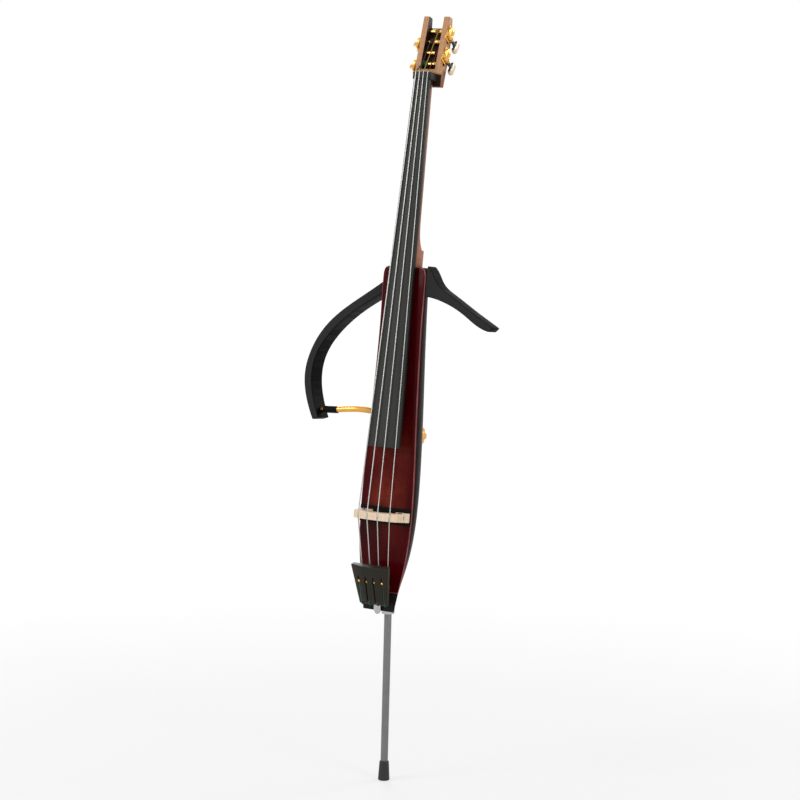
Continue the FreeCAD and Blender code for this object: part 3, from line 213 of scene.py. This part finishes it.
def burgundy_lacquer():
    """Red lacquer over figured wood, with painted light in the middle and upper part of the top, a patch of
    painted shade to one side, and painted shade darkening it to the edges and back.
    """
    p = Paint("burgundy_lacquer", BODY, Specular_IOR_Level=0.04, Coat_Weight=0.06, Coat_Roughness=0.06)
    grain = p.noise(420, 420, 14, detail=5.0)
    figure = p.noise(40, 40, 210, detail=3.0, twist=0.6)
    cloud = p.noise(26, 26, 17, detail=3.0).ramp(0.34, 0.62)
    # painted light: a pool of light painted on the middle of the top
    glow = p.z.near(0.262, 0.125) * p.x.size().ramp(0.064, 0.020) * p.y.ramp(0.030, 0.0)
    # painted light: a second, fainter pool painted higher on the top
    painted_upper_light = p.z.near(0.395, 0.10) * p.x.size().ramp(0.066, 0.040) * p.y.ramp(0.020, 0.0) * 0.45
    light = (glow.most(painted_upper_light) * (0.45 + cloud * 0.65)).least(1.0)
    deep = p.blend(grain.ramp(0.30, 0.75), (0.048, 0.0003, 0.0014), (0.080, 0.0006, 0.0024))
    # the bright red figure colour, shown only where the light is painted
    painted_lit_red = p.blend(figure * 0.6 + grain * 0.4, (0.120, 0.008, 0.005), (0.250, 0.040, 0.018))
    # painted shade: a darker patch painted to one side of the top
    painted_shade_patch = p.z.near(0.200, 0.075) * p.x.ramp(0.030, -0.030) * p.y.ramp(0.020, 0.0) * 0.75
    face = p.blend(painted_shade_patch, p.blend(light, deep, painted_lit_red), (0.022, 0.0030, 0.0026))
    # painted shade: the top painted darker towards the sides and back
    shade = p.y.ramp(0.004, 0.026) * 0.96
    colour = p.blend(shade, face, (0.0055, 0.0012, 0.0014))
    return p.done(Base_Color=colour, Roughness=0.26 + cloud * 0.12, Normal=p.bump(grain, 0.04, 0.0002))


def back_lacquer():
    """The same lacquer on the sides and back, painted nearly black as painted shade, and lighter red in the middle
    of the back.
    """
    p = Paint("back_lacquer", BODY, Specular_IOR_Level=0.02)
    grain = p.noise(420, 420, 14, detail=5.0)
    cloud = p.noise(14, 14, 9, detail=2.0)
    glow = p.y.ramp(0.045, 0.080) * p.x.size().ramp(0.060, 0.015) * (0.3 + cloud * 0.6)
    # painted shade: the sides and back painted nearly black
    dark = p.blend(grain, (0.0042, 0.0006, 0.0009), (0.0100, 0.0014, 0.0018))
    colour = p.blend(glow, dark, p.blend(grain, (0.040, 0.0016, 0.0020), (0.085, 0.0060, 0.0045)))
    return p.done(Base_Color=colour, Roughness=0.26 + cloud * 0.12, Normal=p.bump(grain, 0.04, 0.0002))


def edge_lacquer():
    """The lacquer on the rounded edge of the top, painted lighter pink as a painted highlight along the edge."""
    p = Paint("edge_lacquer", BODY, Specular_IOR_Level=0.3, Coat_Weight=0.3, Coat_Roughness=0.08)
    grain = p.noise(300, 300, 30, detail=4.0)
    # painted highlight: a lighter pink along the rounded edge
    colour = p.blend(grain.ramp(0.25, 0.8), (0.160, 0.020, 0.019), (0.330, 0.085, 0.068))
    return p.done(Base_Color=colour, Roughness=0.24 + grain * 0.16)


def black_lacquer():
    """Black lacquer with the grain just showing."""
    p = Paint("black_lacquer", BODY, Specular_IOR_Level=0.10)
    grain = p.noise(500, 500, 24, detail=4.0)
    colour = p.blend(grain, (0.006, 0.0055, 0.005), (0.020, 0.018, 0.016))
    return p.done(Base_Color=colour, Roughness=0.28 + grain * 0.16, Normal=p.bump(grain, 0.08, 0.0002))


def frame_finish():
    """Near-black satin lacquer over wood, its front face painted grey as a painted reflection of the light, and
    rubbed a little lighter where it is handled.
    """
    p = Paint("frame_finish", BODY, Specular_IOR_Level=0.02)
    grain = p.noise(260, 40, 60, detail=5.0)
    wear = p.noise(24, 24, 24, detail=4.0).ramp(0.52, 0.78)
    # painted light: the front face is painted grey
    painted_lit_front = p.y.ramp(0.0042, 0.0028)
    base = p.blend(grain, (0.0018, 0.0016, 0.0015), (0.0048, 0.0042, 0.0038))
    colour = p.blend((painted_lit_front * 0.80 + wear * 0.08).least(1.0), base, (0.044, 0.043, 0.043))
    return p.done(Base_Color=colour, Roughness=0.36 + grain * 0.16 - wear * 0.06,
                  Normal=p.bump(grain, 0.12, 0.0003))


def ebony(name, space, dark, light):
    """Fine-pored black wood with long grey-brown streaks."""
    p = Paint(name, space, Specular_IOR_Level=0.14)
    streak = p.noise(190, 190, 5, detail=4.0, rough=0.6)
    pores = p.noise(1700, 1700, 60, detail=2.0).ramp(0.62, 0.74)
    tone = p.noise(40, 40, 3, detail=2.0)
    colour = p.blend(pores * 0.6, p.blend(streak * 0.7 + tone * 0.3, dark, light), dark)
    return p.done(Base_Color=colour, Roughness=0.34 + streak * 0.14 + pores * 0.2,
                  Normal=p.bump(pores * -1 + streak * 0.4, 0.18, 0.0002))


def maple(name, space, pale, deep, coat, flecks, chin_shade=0.0):
    """Straight-grained maple with a faint cross figure and short flecks."""
    p = Paint(name, space, Specular_IOR_Level=0.2, Coat_Weight=coat, Coat_Roughness=0.16)
    rings = (p.x * 900 + p.noise(30, 30, 3) * 16).sine() * 0.5 + 0.5
    fibre = p.noise(700, 700, 26, detail=4.0)
    figure = (p.z * 420 + p.noise(35, 35, 12) * 10).sine() * 0.5 + 0.5
    fleck = p.noise(500, 900, 150, detail=2.0).ramp(0.60, 0.70)
    tone = rings * 0.35 + fibre * 0.40 + figure * 0.18
    colour = p.blend(fleck * flecks, p.blend(tone, pale, deep), tuple(c * 0.55 for c in deep))
    # painted shade on the chin at the bottom of the headstock, in a darker red-brown
    if chin_shade:
        low = p.z.ramp(0.014, -0.002) * p.y.ramp(0.006, 0.022) * chin_shade
        colour = p.blend(low, colour, (0.150, 0.036, 0.014))
    return p.done(Base_Color=colour, Roughness=0.38 + fibre * 0.18, Normal=p.bump(fibre, 0.10, 0.0002))


def metal(name, low, high, rough, scratch=(900, 900, 30), metallic=1.0):
    """Metal with fine scratches drawn out along one way, and a slightly uneven tone."""
    p = Paint(name, Metallic=metallic)
    lines = p.noise(*scratch, detail=3.0)
    tone = p.noise(60, 60, 60, detail=3.0)
    colour = p.blend(tone * 0.7 + lines * 0.3, low, high)
    return p.done(Base_Color=colour, Roughness=rough + lines * rough * 0.7,
                  Normal=p.bump(lines, 0.05, 0.0001))


def moulded(name, low, high, rough, fine=2600, strength=0.10, coat=0.0, shine=0.45):
    """Moulded plastic or rubber with a fine even skin."""
    p = Paint(name, Coat_Weight=coat, Coat_Roughness=0.08, Specular_IOR_Level=shine)
    skin = p.noise(fine, fine, fine, detail=2.0)
    tone = p.noise(30, 30, 30, detail=3.0)
    colour = p.blend(tone * 0.6 + skin * 0.4, low, high)
    return p.done(Base_Color=colour, Roughness=rough + skin * 0.14,
                  Normal=p.bump(skin, strength, 0.0002))


def pearl():
    """Cream key plastic with a soft swirl."""
    p = Paint("pearl_key", Specular_IOR_Level=0.5, Coat_Weight=0.6, Coat_Roughness=0.05)
    swirl = p.noise(90, 90, 90, detail=5.0, rough=0.6, twist=1.6)
    colour = p.blend(swirl.ramp(0.25, 0.8), (0.68, 0.49, 0.28), (0.86, 0.70, 0.47))
    return p.done(Base_Color=colour, Roughness=0.20 + swirl * 0.16)


def wound_string(name, wraps, silk, ball):
    """A round-wound steel string with silk over both of its ends and brass wire by its ball."""
    p = Paint(name, NECK, Specular_IOR_Level=0.5)
    turns = (p.z * 2 * math.pi * wraps).sine() * 0.5 + 0.5
    top = p.z.ramp(TOP_SILK, TOP_SILK + 0.0015)
    bottom = p.z.ramp(TAIL_SILK, TAIL_SILK - 0.003)
    thread = p.noise(2500, 2500, 2500, detail=2.0)
    dull = p.noise(40, 40, 12) * 0.3
    steel = p.blend(turns * 0.6 + dull, (0.36, 0.36, 0.345), (0.64, 0.64, 0.62))
    tail = p.blend(thread, (0.018, 0.085, 0.048), (0.045, 0.165, 0.095))
    head = p.blend(thread, tuple(c * 0.5 for c in silk), silk)
    x, y, z = NECK.inverted() @ ball
    away = ((p.x - x) ** 2 + (p.y - y) ** 2 + (p.z - z) ** 2) ** 0.5
    brass = away.ramp(BRASS_REACH + 0.001, BRASS_REACH)
    cloth = top.most(bottom) * (1 - brass)
    wire = p.blend(turns, (0.30, 0.17, 0.030), (0.62, 0.40, 0.10))
    colour = p.blend(brass, p.blend(top, p.blend(bottom, steel, tail), head), wire)
    return p.done(Base_Color=colour, Metallic=(1 - cloth) * 0.85, Roughness=0.34 + cloth * 0.5,
                  Normal=p.bump(turns * (1 - cloth) + thread * cloth, 0.35, 0.0002))


def painted_board():
    """Circuit board green with paler tracks."""
    p = Paint("circuit_board", BODY, Specular_IOR_Level=0.5)
    track = p.cells(400, 400, 260).ramp(0.32, 0.36)
    colour = p.blend(track, (0.010, 0.105, 0.040), (0.035, 0.230, 0.100))
    return p.done(Base_Color=colour, Roughness=0.30 + track * 0.1)


def battery_wrap():
    """A plain two-tone foil wrap."""
    p = Paint("battery_wrap", BODY, Specular_IOR_Level=0.5)
    band = (p.z - 0.2735).ramp(0.033, 0.0335)
    colour = p.blend(band, (0.020, 0.020, 0.022), (0.55, 0.40, 0.16))
    return p.done(Base_Color=colour, Roughness=0.25 + p.noise(80, 80, 80) * 0.15)


GOLD = metal("polished_gold", (0.62, 0.34, 0.075), (0.92, 0.58, 0.17), 0.13)
WARM_GOLD = metal("satin_gold", (0.66, 0.31, 0.060), (0.84, 0.47, 0.125), 0.24, (60, 900, 900))
STEEL = metal("satin_steel", (0.36, 0.36, 0.37), (0.58, 0.58, 0.58), 0.24)
CHROME = metal("bright_chrome", (0.62, 0.62, 0.63), (0.78, 0.78, 0.78), 0.08)
PIN_GREY = metal("drawn_endpin", (0.150, 0.150, 0.152), (0.235, 0.235, 0.235), 0.34, (1500, 1500, 12),
                 metallic=0.55)
DARK_RING = metal("dark_ring", (0.05, 0.05, 0.052), (0.10, 0.10, 0.10), 0.25, metallic=0.6)
RUBBER = moulded("foot_rubber_skin", (0.011, 0.011, 0.011), (0.022, 0.022, 0.021), 0.55, 1800, 0.25)
BLACK = moulded("black_moulding", (0.008, 0.008, 0.0085), (0.018, 0.018, 0.018), 0.36)
BASE_BLACK = moulded("base_black", (0.003, 0.003, 0.003), (0.0070, 0.0068, 0.0065), 0.5, shine=0.06)
COLLAR = moulded("collar_black", (0.006, 0.006, 0.006), (0.014, 0.014, 0.014), 0.22, coat=0.4)
WHITE_MARK = moulded("white_mark", (0.60, 0.59, 0.56), (0.78, 0.77, 0.74), 0.40)
LACQUER = burgundy_lacquer()
BACK_SHADE = back_lacquer()
EDGE_HIGHLIGHT = edge_lacquer()
END_BLACK = black_lacquer()
FRAME = frame_finish()
BOARD = ebony("board_ebony", NECK, (0.026, 0.0265, 0.024), (0.054, 0.054, 0.049))
# painted shade: the sides of the fingerboard, painted darker than its face
BOARD_SIDE_SHADE = ebony("board_side_ebony", NECK, (0.0040, 0.0040, 0.0038), (0.0105, 0.0100, 0.0092))
TAIL_WOOD = ebony("tail_ebony", TAIL, (0.014, 0.0125, 0.0080), (0.034, 0.029, 0.020))
NUT_WOOD = ebony("nut_ebony", NECK, (0.016, 0.0155, 0.014), (0.040, 0.039, 0.036))
NECK_WOOD = maple("neck_maple_satin", NECK, (0.40, 0.135, 0.050), (0.22, 0.060, 0.020), 0.05, 0.25)
# the last number is the strength of the painted shade on the chin
HEAD_WOOD = maple("head_maple_satin", HEAD, (0.68, 0.385, 0.200), (0.48, 0.225, 0.098), 0.05, 0.25, 0.85)
# painted shade: the inside of the pegbox, painted nearly black
PEGBOX_SHADE = ebony("pegbox_inside", HEAD, (0.010, 0.005, 0.003), (0.040, 0.017, 0.009))
BRIDGE_WOOD = maple("bare_maple", BODY, (0.98, 0.80, 0.60), (0.86, 0.63, 0.43), 0.0, 0.5)
PEARL = pearl()
BRASS_DISC = metal("bare_brass", (0.42, 0.28, 0.10), (0.62, 0.44, 0.17), 0.30)
CIRCUIT = painted_board()
WRAP = battery_wrap()
SILKS = {"e": (0.010, 0.150, 0.062), "a": (0.050, 0.018, 0.010), "d": (0.50, 0.26, 0.045),
         "g": (0.165, 0.010, 0.016)}
WRAPS = {"e": 620, "a": 720, "d": 820, "g": 950}


def finished(name, bm, body, materials, replaced=(), sharp=35.0):
    """Turns a bmesh in metres and the row frame into a piece that rides on a body."""
    mesh = bpy.data.meshes.new(name)
    bm.to_mesh(mesh)
    bm.free()
    mesh.shade_smooth()
    mesh.set_sharp_from_angle(angle=math.radians(sharp))
    for material in materials:
        mesh.materials.append(material)
    piece = bpy.data.objects.new(name, mesh)
    bpy.context.scene.collection.objects.link(piece)
    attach(piece, body)
    if replaced:
        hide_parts(*replaced)
    return piece


def welded(node):
    """A copy of a CAD node's mesh, merged, with its flat faces whole again."""
    bm = bmesh.new()
    bm.from_mesh(NODES[node].data)
    bmesh.ops.remove_doubles(bm, verts=bm.verts, dist=0.004 * MM)
    bmesh.ops.dissolve_limit(bm, angle_limit=math.radians(0.4), verts=bm.verts, edges=bm.edges)
    for face in bm.faces:
        face.material_index = 0
    return bm


def eased(bm, width, segments=2, sharp=40.0, tint=-1, only=None):
    """Rounds a shape's sharp edges by a width in millimetres."""
    limit = math.radians(sharp)
    edges = [e for e in bm.edges if len(e.link_faces) == 2 and e.calc_face_angle() > limit]
    if only:
        edges = [e for e in edges if only(e)]
    bmesh.ops.bevel(bm, geom=edges, offset=width * MM, offset_type="OFFSET", segments=segments,
                    profile=0.5, affect="EDGES", clamp_overlap=False, material=tint)
    return bm


def soft_copy(node, width, materials, segments=2, tint=-1, only=None, choose=None, sharp=40.0):
    """A CAD node with its edges eased, standing for that node."""
    bm = eased(welded(node), width, segments, sharp, tint, only)
    if choose:
        for face in bm.faces:
            face.material_index = choose(face)
    return finished(node + "_eased", bm, BODY_OF[node], materials, (node,))


def painted(node, material):
    """A CAD node that stays, with a finish."""
    NODES[node].data.materials.clear()
    NODES[node].data.materials.append(material)


def make_camera():
    data = bpy.data.cameras.new("camera")
    data.lens = CAMERA_LENS
    data.sensor_width = 36.0
    camera = bpy.data.objects.new("camera", data)
    bpy.context.scene.collection.objects.link(camera)
    azimuth = math.radians(CAMERA_SIDE)
    camera.location = (CAMERA_AWAY * math.sin(azimuth), -CAMERA_AWAY * math.cos(azimuth), CAMERA_HEIGHT)
    aim = Vector((AIM_ACROSS * math.cos(azimuth), AIM_ACROSS * math.sin(azimuth), AIM_HEIGHT))
    turn = (aim - camera.location).to_track_quat("-Z", "Y")
    camera.rotation_mode = "QUATERNION"
    camera.rotation_quaternion = turn @ Quaternion((0, 0, 1), math.radians(CAMERA_ROLL))
    bpy.context.scene.camera = camera


def make_lamp(name, place, power, size):
    data = bpy.data.lights.new(name, "AREA")
    data.energy = power
    data.size = size
    lamp = bpy.data.objects.new(name, data)
    bpy.context.scene.collection.objects.link(lamp)
    lamp.location = place
    lamp.rotation_mode = "QUATERNION"
    lamp.rotation_quaternion = (Vector((0, 0, 0.95)) - lamp.location).to_track_quat("-Z", "Y")


def make_world():
    """White surroundings for the camera and for reflections, and a plain dimmer light on the object."""
    world = bpy.data.worlds.new("studio")
    bpy.context.scene.world = world
    world.use_nodes = True
    tree = world.node_tree
    rays = tree.nodes.new("ShaderNodeLightPath")
    back = tree.nodes["Background"]
    back.inputs["Color"].default_value = (1, 1, 1, 1)
    seen = rays.outputs["Is Camera Ray"]
    for other in ("Is Glossy Ray", "Is Transmission Ray"):
        both = tree.nodes.new("ShaderNodeMath")
        both.operation = "MAXIMUM"
        tree.links.new(seen, both.inputs[0])
        tree.links.new(rays.outputs[other], both.inputs[1])
        seen = both.outputs[0]
    level = tree.nodes.new("ShaderNodeMapRange")
    level.inputs["To Min"].default_value = 0.42
    level.inputs["To Max"].default_value = 1.0
    tree.links.new(seen, level.inputs["Value"])
    tree.links.new(level.outputs[0], back.inputs["Strength"])


def make_floor():
    """A pale floor that keeps the object's shadow and fades to white."""
    bm = bmesh.new()
    bmesh.ops.create_circle(bm, cap_ends=True, radius=60.0, segments=96)
    mesh = bpy.data.meshes.new("floor")
    bm.to_mesh(mesh)
    bm.free()
    floor = bpy.data.objects.new("floor", mesh)
    floor.location.z = -0.0004
    bpy.context.scene.collection.objects.link(floor)
    p = Paint("floor_paper", Roughness=0.9, Specular_IOR_Level=0.1, Emission_Strength=1.0)
    rays = p.tree.nodes.new("ShaderNodeLightPath")
    away = (p.x * p.x + p.y * p.y) ** 0.5
    shown = Sock(p, rays.outputs["Is Camera Ray"]).most(Sock(p, rays.outputs["Is Glossy Ray"]))
    glow = shown * (0.62 + away.ramp(0.5, 3.0) * 0.38)
    paper = p.noise(30, 30, 30, detail=4.0)
    colour = p.blend(glow, p.blend(paper, (0.86, 0.86, 0.86), (0.90, 0.90, 0.90)), (0.0, 0.0, 0.0))
    shine = p.blend(glow, (0.0, 0.0, 0.0), (1.0, 1.0, 1.0))
    p.tree.links.new(shine.socket, p.shader.inputs["Emission Color"])
    mesh.materials.append(p.done(Base_Color=colour))


def make_lamps():
    make_lamp("key", (-3.0, -4.6, 3.6), 120.0, 2.4)
    make_lamp("side", (4.2, -1.4, 2.6), 46.0, 1.4)
    make_lamp("rear_left", (-3.4, 3.8, 3.2), 80.0, 2.2)
    make_lamp("rear_right", (2.6, 4.6, 3.0), 60.0, 2.0)


def turned(bm, profile, segments, place):
    """Spins a profile of (radius, height) in millimetres round a frame's Z, closed at the poles."""
    start = [bm.verts.new((r * MM, 0, h * MM)) for r, h in profile]
    edges = [bm.edges.new(pair) for pair in zip(start, start[1:])]
    before = set(bm.verts) - set(start)
    bmesh.ops.spin(bm, geom=start + edges, cent=(0, 0, 0), axis=(0, 0, 1), angle=2 * math.pi,
                   steps=segments, use_merge=True)
    made = [v for v in bm.verts if v not in before]
    bmesh.ops.remove_doubles(bm, verts=made, dist=0.002 * MM)
    made = [v for v in bm.verts if v not in before]
    faces = list({f for v in made for f in v.link_faces})
    bmesh.ops.recalc_face_normals(bm, faces=faces)
    bmesh.ops.transform(bm, matrix=place, verts=made)
    return faces


def facing(point, heading):
    """A frame at a point, its Z along a heading."""
    return Matrix.Translation(point) @ Vector(heading).to_track_quat("Z", "Y").to_matrix().to_4x4()


def make_body():
    def lengthways(edge):
        a, b = [BODY.inverted() @ v.co for v in edge.verts]
        return max(a.y, b.y) < 0.0004

    # the rounded lengthways edges of the top take the painted highlight
    soft_copy("top_plate", 2.2, [LACQUER, EDGE_HIGHLIGHT], segments=4, tint=1, only=lengthways)
    soft_copy("hull", 0.6, [BACK_SHADE], sharp=50.0)
    soft_copy("end_block", 1.2, [END_BLACK], segments=3)
    soft_copy("control_plate", 0.5, [BLACK])
    soft_copy("battery_door", 0.4, [BLACK])
    soft_copy("clamp_boss", 0.5, [WARM_GOLD])
    for node, material in (("battery_box", BLACK), ("battery", WRAP), ("preamp_board", CIRCUIT),
                           ("piezo_discs", BRASS_DISC), ("pickup_lead", BLACK), ("truss_rod", STEEL)):
        painted(node, material)


def make_neck():
    soft_copy("neck", 0.5, [NECK_WOOD], sharp=50.0)

    # the side faces of the fingerboard take the painted shade
    def beside(face):
        return 1 if abs((NECK.inverted().to_3x3() @ face.normal).x) > 0.8 else 0

    soft_copy("fingerboard", 0.6, [BOARD, BOARD_SIDE_SHADE], choose=beside)
    soft_copy("nut", 0.8, [NUT_WOOD])

    # faces inside the pegbox take the painted shade
    def inside(face):
        centre = HEAD.inverted() @ face.calc_center_median()
        normal = HEAD.inverted().to_3x3() @ face.normal
        cheek = abs(normal.x) > 0.9 and abs(centre.x) < 0.0215
        wall = normal.y < -0.8 and centre.y > 0.015
        floor = normal.z > 0.8 and centre.z < 0.008
        return 1 if cheek or wall or floor else 0

    soft_copy("headstock", 1.0, [HEAD_WOOD, PEGBOX_SHADE], choose=inside, sharp=50.0)


def make_machines():
    balls = centres("string_balls")
    soft_copy("tuner_plates", 0.35, [GOLD])
    for name in "egad":
        joint = JOINTS["key_turn_" + name]
        place = facing(joint["pos_m"], joint["axis"])
        make_worm(name, place)

        def collar(face):
            return 1 if (place.inverted() @ face.calc_center_median()).z < COLLAR_END else 0

        soft_copy("tuner_key_" + name, 1.3, [PEARL, COLLAR], segments=3, choose=collar, sharp=50.0)
        soft_copy("tuner_post_" + name, 0.2, [GOLD])
        spots = NODES["string_" + name].data.vertices
        middle = sum((v.co for v in spots), Vector()) / len(spots)
        ball = min(balls, key=lambda spot: abs(spot.x - middle.x))
        winding = wound_string("string_wound_" + name, WRAPS[name], SILKS[name], ball)
        painted("string_" + name, winding)


def make_worm(name, place):
    """A threaded worm and its shaft."""
    bm = bmesh.new()
    low = -WORM_TURNS * WORM_PITCH / 2
    ring = [bm.verts.new((r * MM, 0, (low + h) * MM)) for r, h in WORM_SECTION]
    edges = [bm.edges.new(pair) for pair in zip(ring, ring[1:])]
    climb = (0, 0, WORM_PITCH * MM / WORM_STEPS)
    bmesh.ops.spin(bm, geom=ring + edges, cent=(0, 0, 0), axis=(0, 0, 1), dvec=climb,
                   angle=2 * math.pi * WORM_TURNS, steps=WORM_STEPS * WORM_TURNS)
    bmesh.ops.holes_fill(bm, edges=[e for e in bm.edges if e.is_boundary], sides=8)
    bmesh.ops.recalc_face_normals(bm, faces=bm.faces)
    bmesh.ops.transform(bm, matrix=place, verts=bm.verts)
    turned(bm, WORM_SHAFT, 28, place)
    finished("worm_thread_" + name, bm, "key_" + name, [GOLD], ("tuner_worm_" + name,))


def make_plate_screws():
    """Round heads with a socket on the machine plates."""
    bm = bmesh.new()
    for centre in centres("tuner_screws"):
        side = math.copysign(1, centre.x)
        turned(bm, PLATE_SCREW, 20, facing((side * PLATE_FACE * MM, centre.y, centre.z), (side, 0, 0)))
    finished("plate_screw_heads", bm, "root", [GOLD], ("tuner_screws",))


def middle_of(spots):
    """The middle of the box round some points."""
    return Vector([(min(s[k] for s in spots) + max(s[k] for s in spots)) / 2 for k in range(3)])


def centres(node):
    """The middle of each separate solid of a CAD node, in a fixed order."""
    bm = welded(node)
    left = set(bm.verts)
    found = []
    while left:
        group = set()
        waiting = [left.pop()]
        while waiting:
            vert = waiting.pop()
            group.add(vert)
            for link in vert.link_edges:
                other = link.other_vert(vert)
                if other in left:
                    left.discard(other)
                    waiting.append(other)
        found.append(middle_of([v.co for v in group]))
    bm.free()
    return sorted(found, key=tuple)


def make_bridge():
    soft_copy("bridge_crown", 0.8, [BRIDGE_WOOD], segments=3)
    soft_copy("bridge_feet", 0.7, [BRIDGE_WOOD])
    soft_copy("pickup_base", 0.6, [BASE_BLACK])
    for side in ("left", "right"):
        soft_copy("bridge_wheel_" + side, 0.15, [DARK_RING])


def make_tailpiece():
    soft_copy("tailpiece", 0.8, [TAIL_WOOD], sharp=50.0)
    painted("tailpiece_posts", GOLD)
    bm = bmesh.new()
    for centre in centres("string_balls"):
        turned(bm, BALL, 32, facing(centre, (1, 0, 0)))
    finished("ball_ends", bm, "root", [WARM_GOLD], ("string_balls",))


def make_endpin():
    soft_copy("endpin_tube", 0.2, [PIN_GREY])
    soft_copy("endpin_foot", 0.4, [RUBBER])
    soft_copy("endpin_sleeve", 0.3, [STEEL])
    soft_copy("endpin_collar", 0.8, [STEEL])
    soft_copy("endpin_thumbscrew", 0.8, [STEEL])


def make_frames():
    soft_copy("left_frame", 2.0, [FRAME], segments=4)
    soft_copy("right_frame", 2.0, [FRAME], segments=4)
    painted("left_frame_pins", STEEL)
    painted("right_frame_pins", STEEL)
    soft_copy("brace_bar", 0.6, [WARM_GOLD])
    centre = middle_of([v.co for v in NODES["brace_ferrule"].data.vertices])
    bm = bmesh.new()
    turned(bm, FERRULE, 40, facing(centre, BODY.to_3x3() @ Vector((1.0, 0.0, 0.05))))
    finished("long_ferrule", bm, BODY_OF["brace_ferrule"], [BASE_BLACK],
             ("brace_ferrule",))
    soft_copy("clamp_knob", 1.4, [WARM_GOLD], segments=3)


def make_controls():
    out = BODY.to_3x3() @ Vector((0, 1, 0))
    for name in ("volume", "treble", "bass"):
        joint = JOINTS[name + "_turn"]
        place = facing(joint["pos_m"], out)
        bm = bmesh.new()
        faces = turned(bm, DIAL, 48, place)
        flat = [f for f in faces if abs((place.to_3x3().inverted() @ f.normal).z) < 0.2
                and (place.inverted() @ f.calc_center_median()).z > 4 * MM]
        bmesh.ops.inset_individual(bm, faces=flat, thickness=0.12 * MM, depth=-0.25 * MM)
        made = bmesh.ops.create_cube(bm, size=MM)["verts"]
        bmesh.ops.scale(bm, vec=(0.9, 5.4, 0.5), verts=made)
        bmesh.ops.translate(bm, vec=(0, 3.4 * MM, 13.9 * MM), verts=made)
        for face in {f for v in made for f in v.link_faces}:
            face.material_index = 1
        bmesh.ops.transform(bm, matrix=place, verts=made)
        finished(name + "_dial", bm, "dial_" + name, [BLACK, WHITE_MARK],
                 ("knob_" + name,))
    for node in ("output_jack", "headphone_jack"):
        soft_copy(node, 0.3, [CHROME])
    bm = bmesh.new()
    for centre in centres("panel_screws"):
        spot = BODY.inverted() @ centre
        turned(bm, PANEL_SCREW, 20, facing(BODY @ Vector((spot.x, PANEL_FACE * MM, spot.z)), out))
    finished("panel_screw_heads", bm, "root", [STEEL], ("panel_screws",))


make_camera()
make_world()
make_floor()
make_lamps()
bpy.context.scene.view_settings.view_transform = "Standard"
make_body()
make_neck()
make_machines()
make_plate_screws()
make_bridge()
make_tailpiece()
make_endpin()
make_frames()
make_controls()
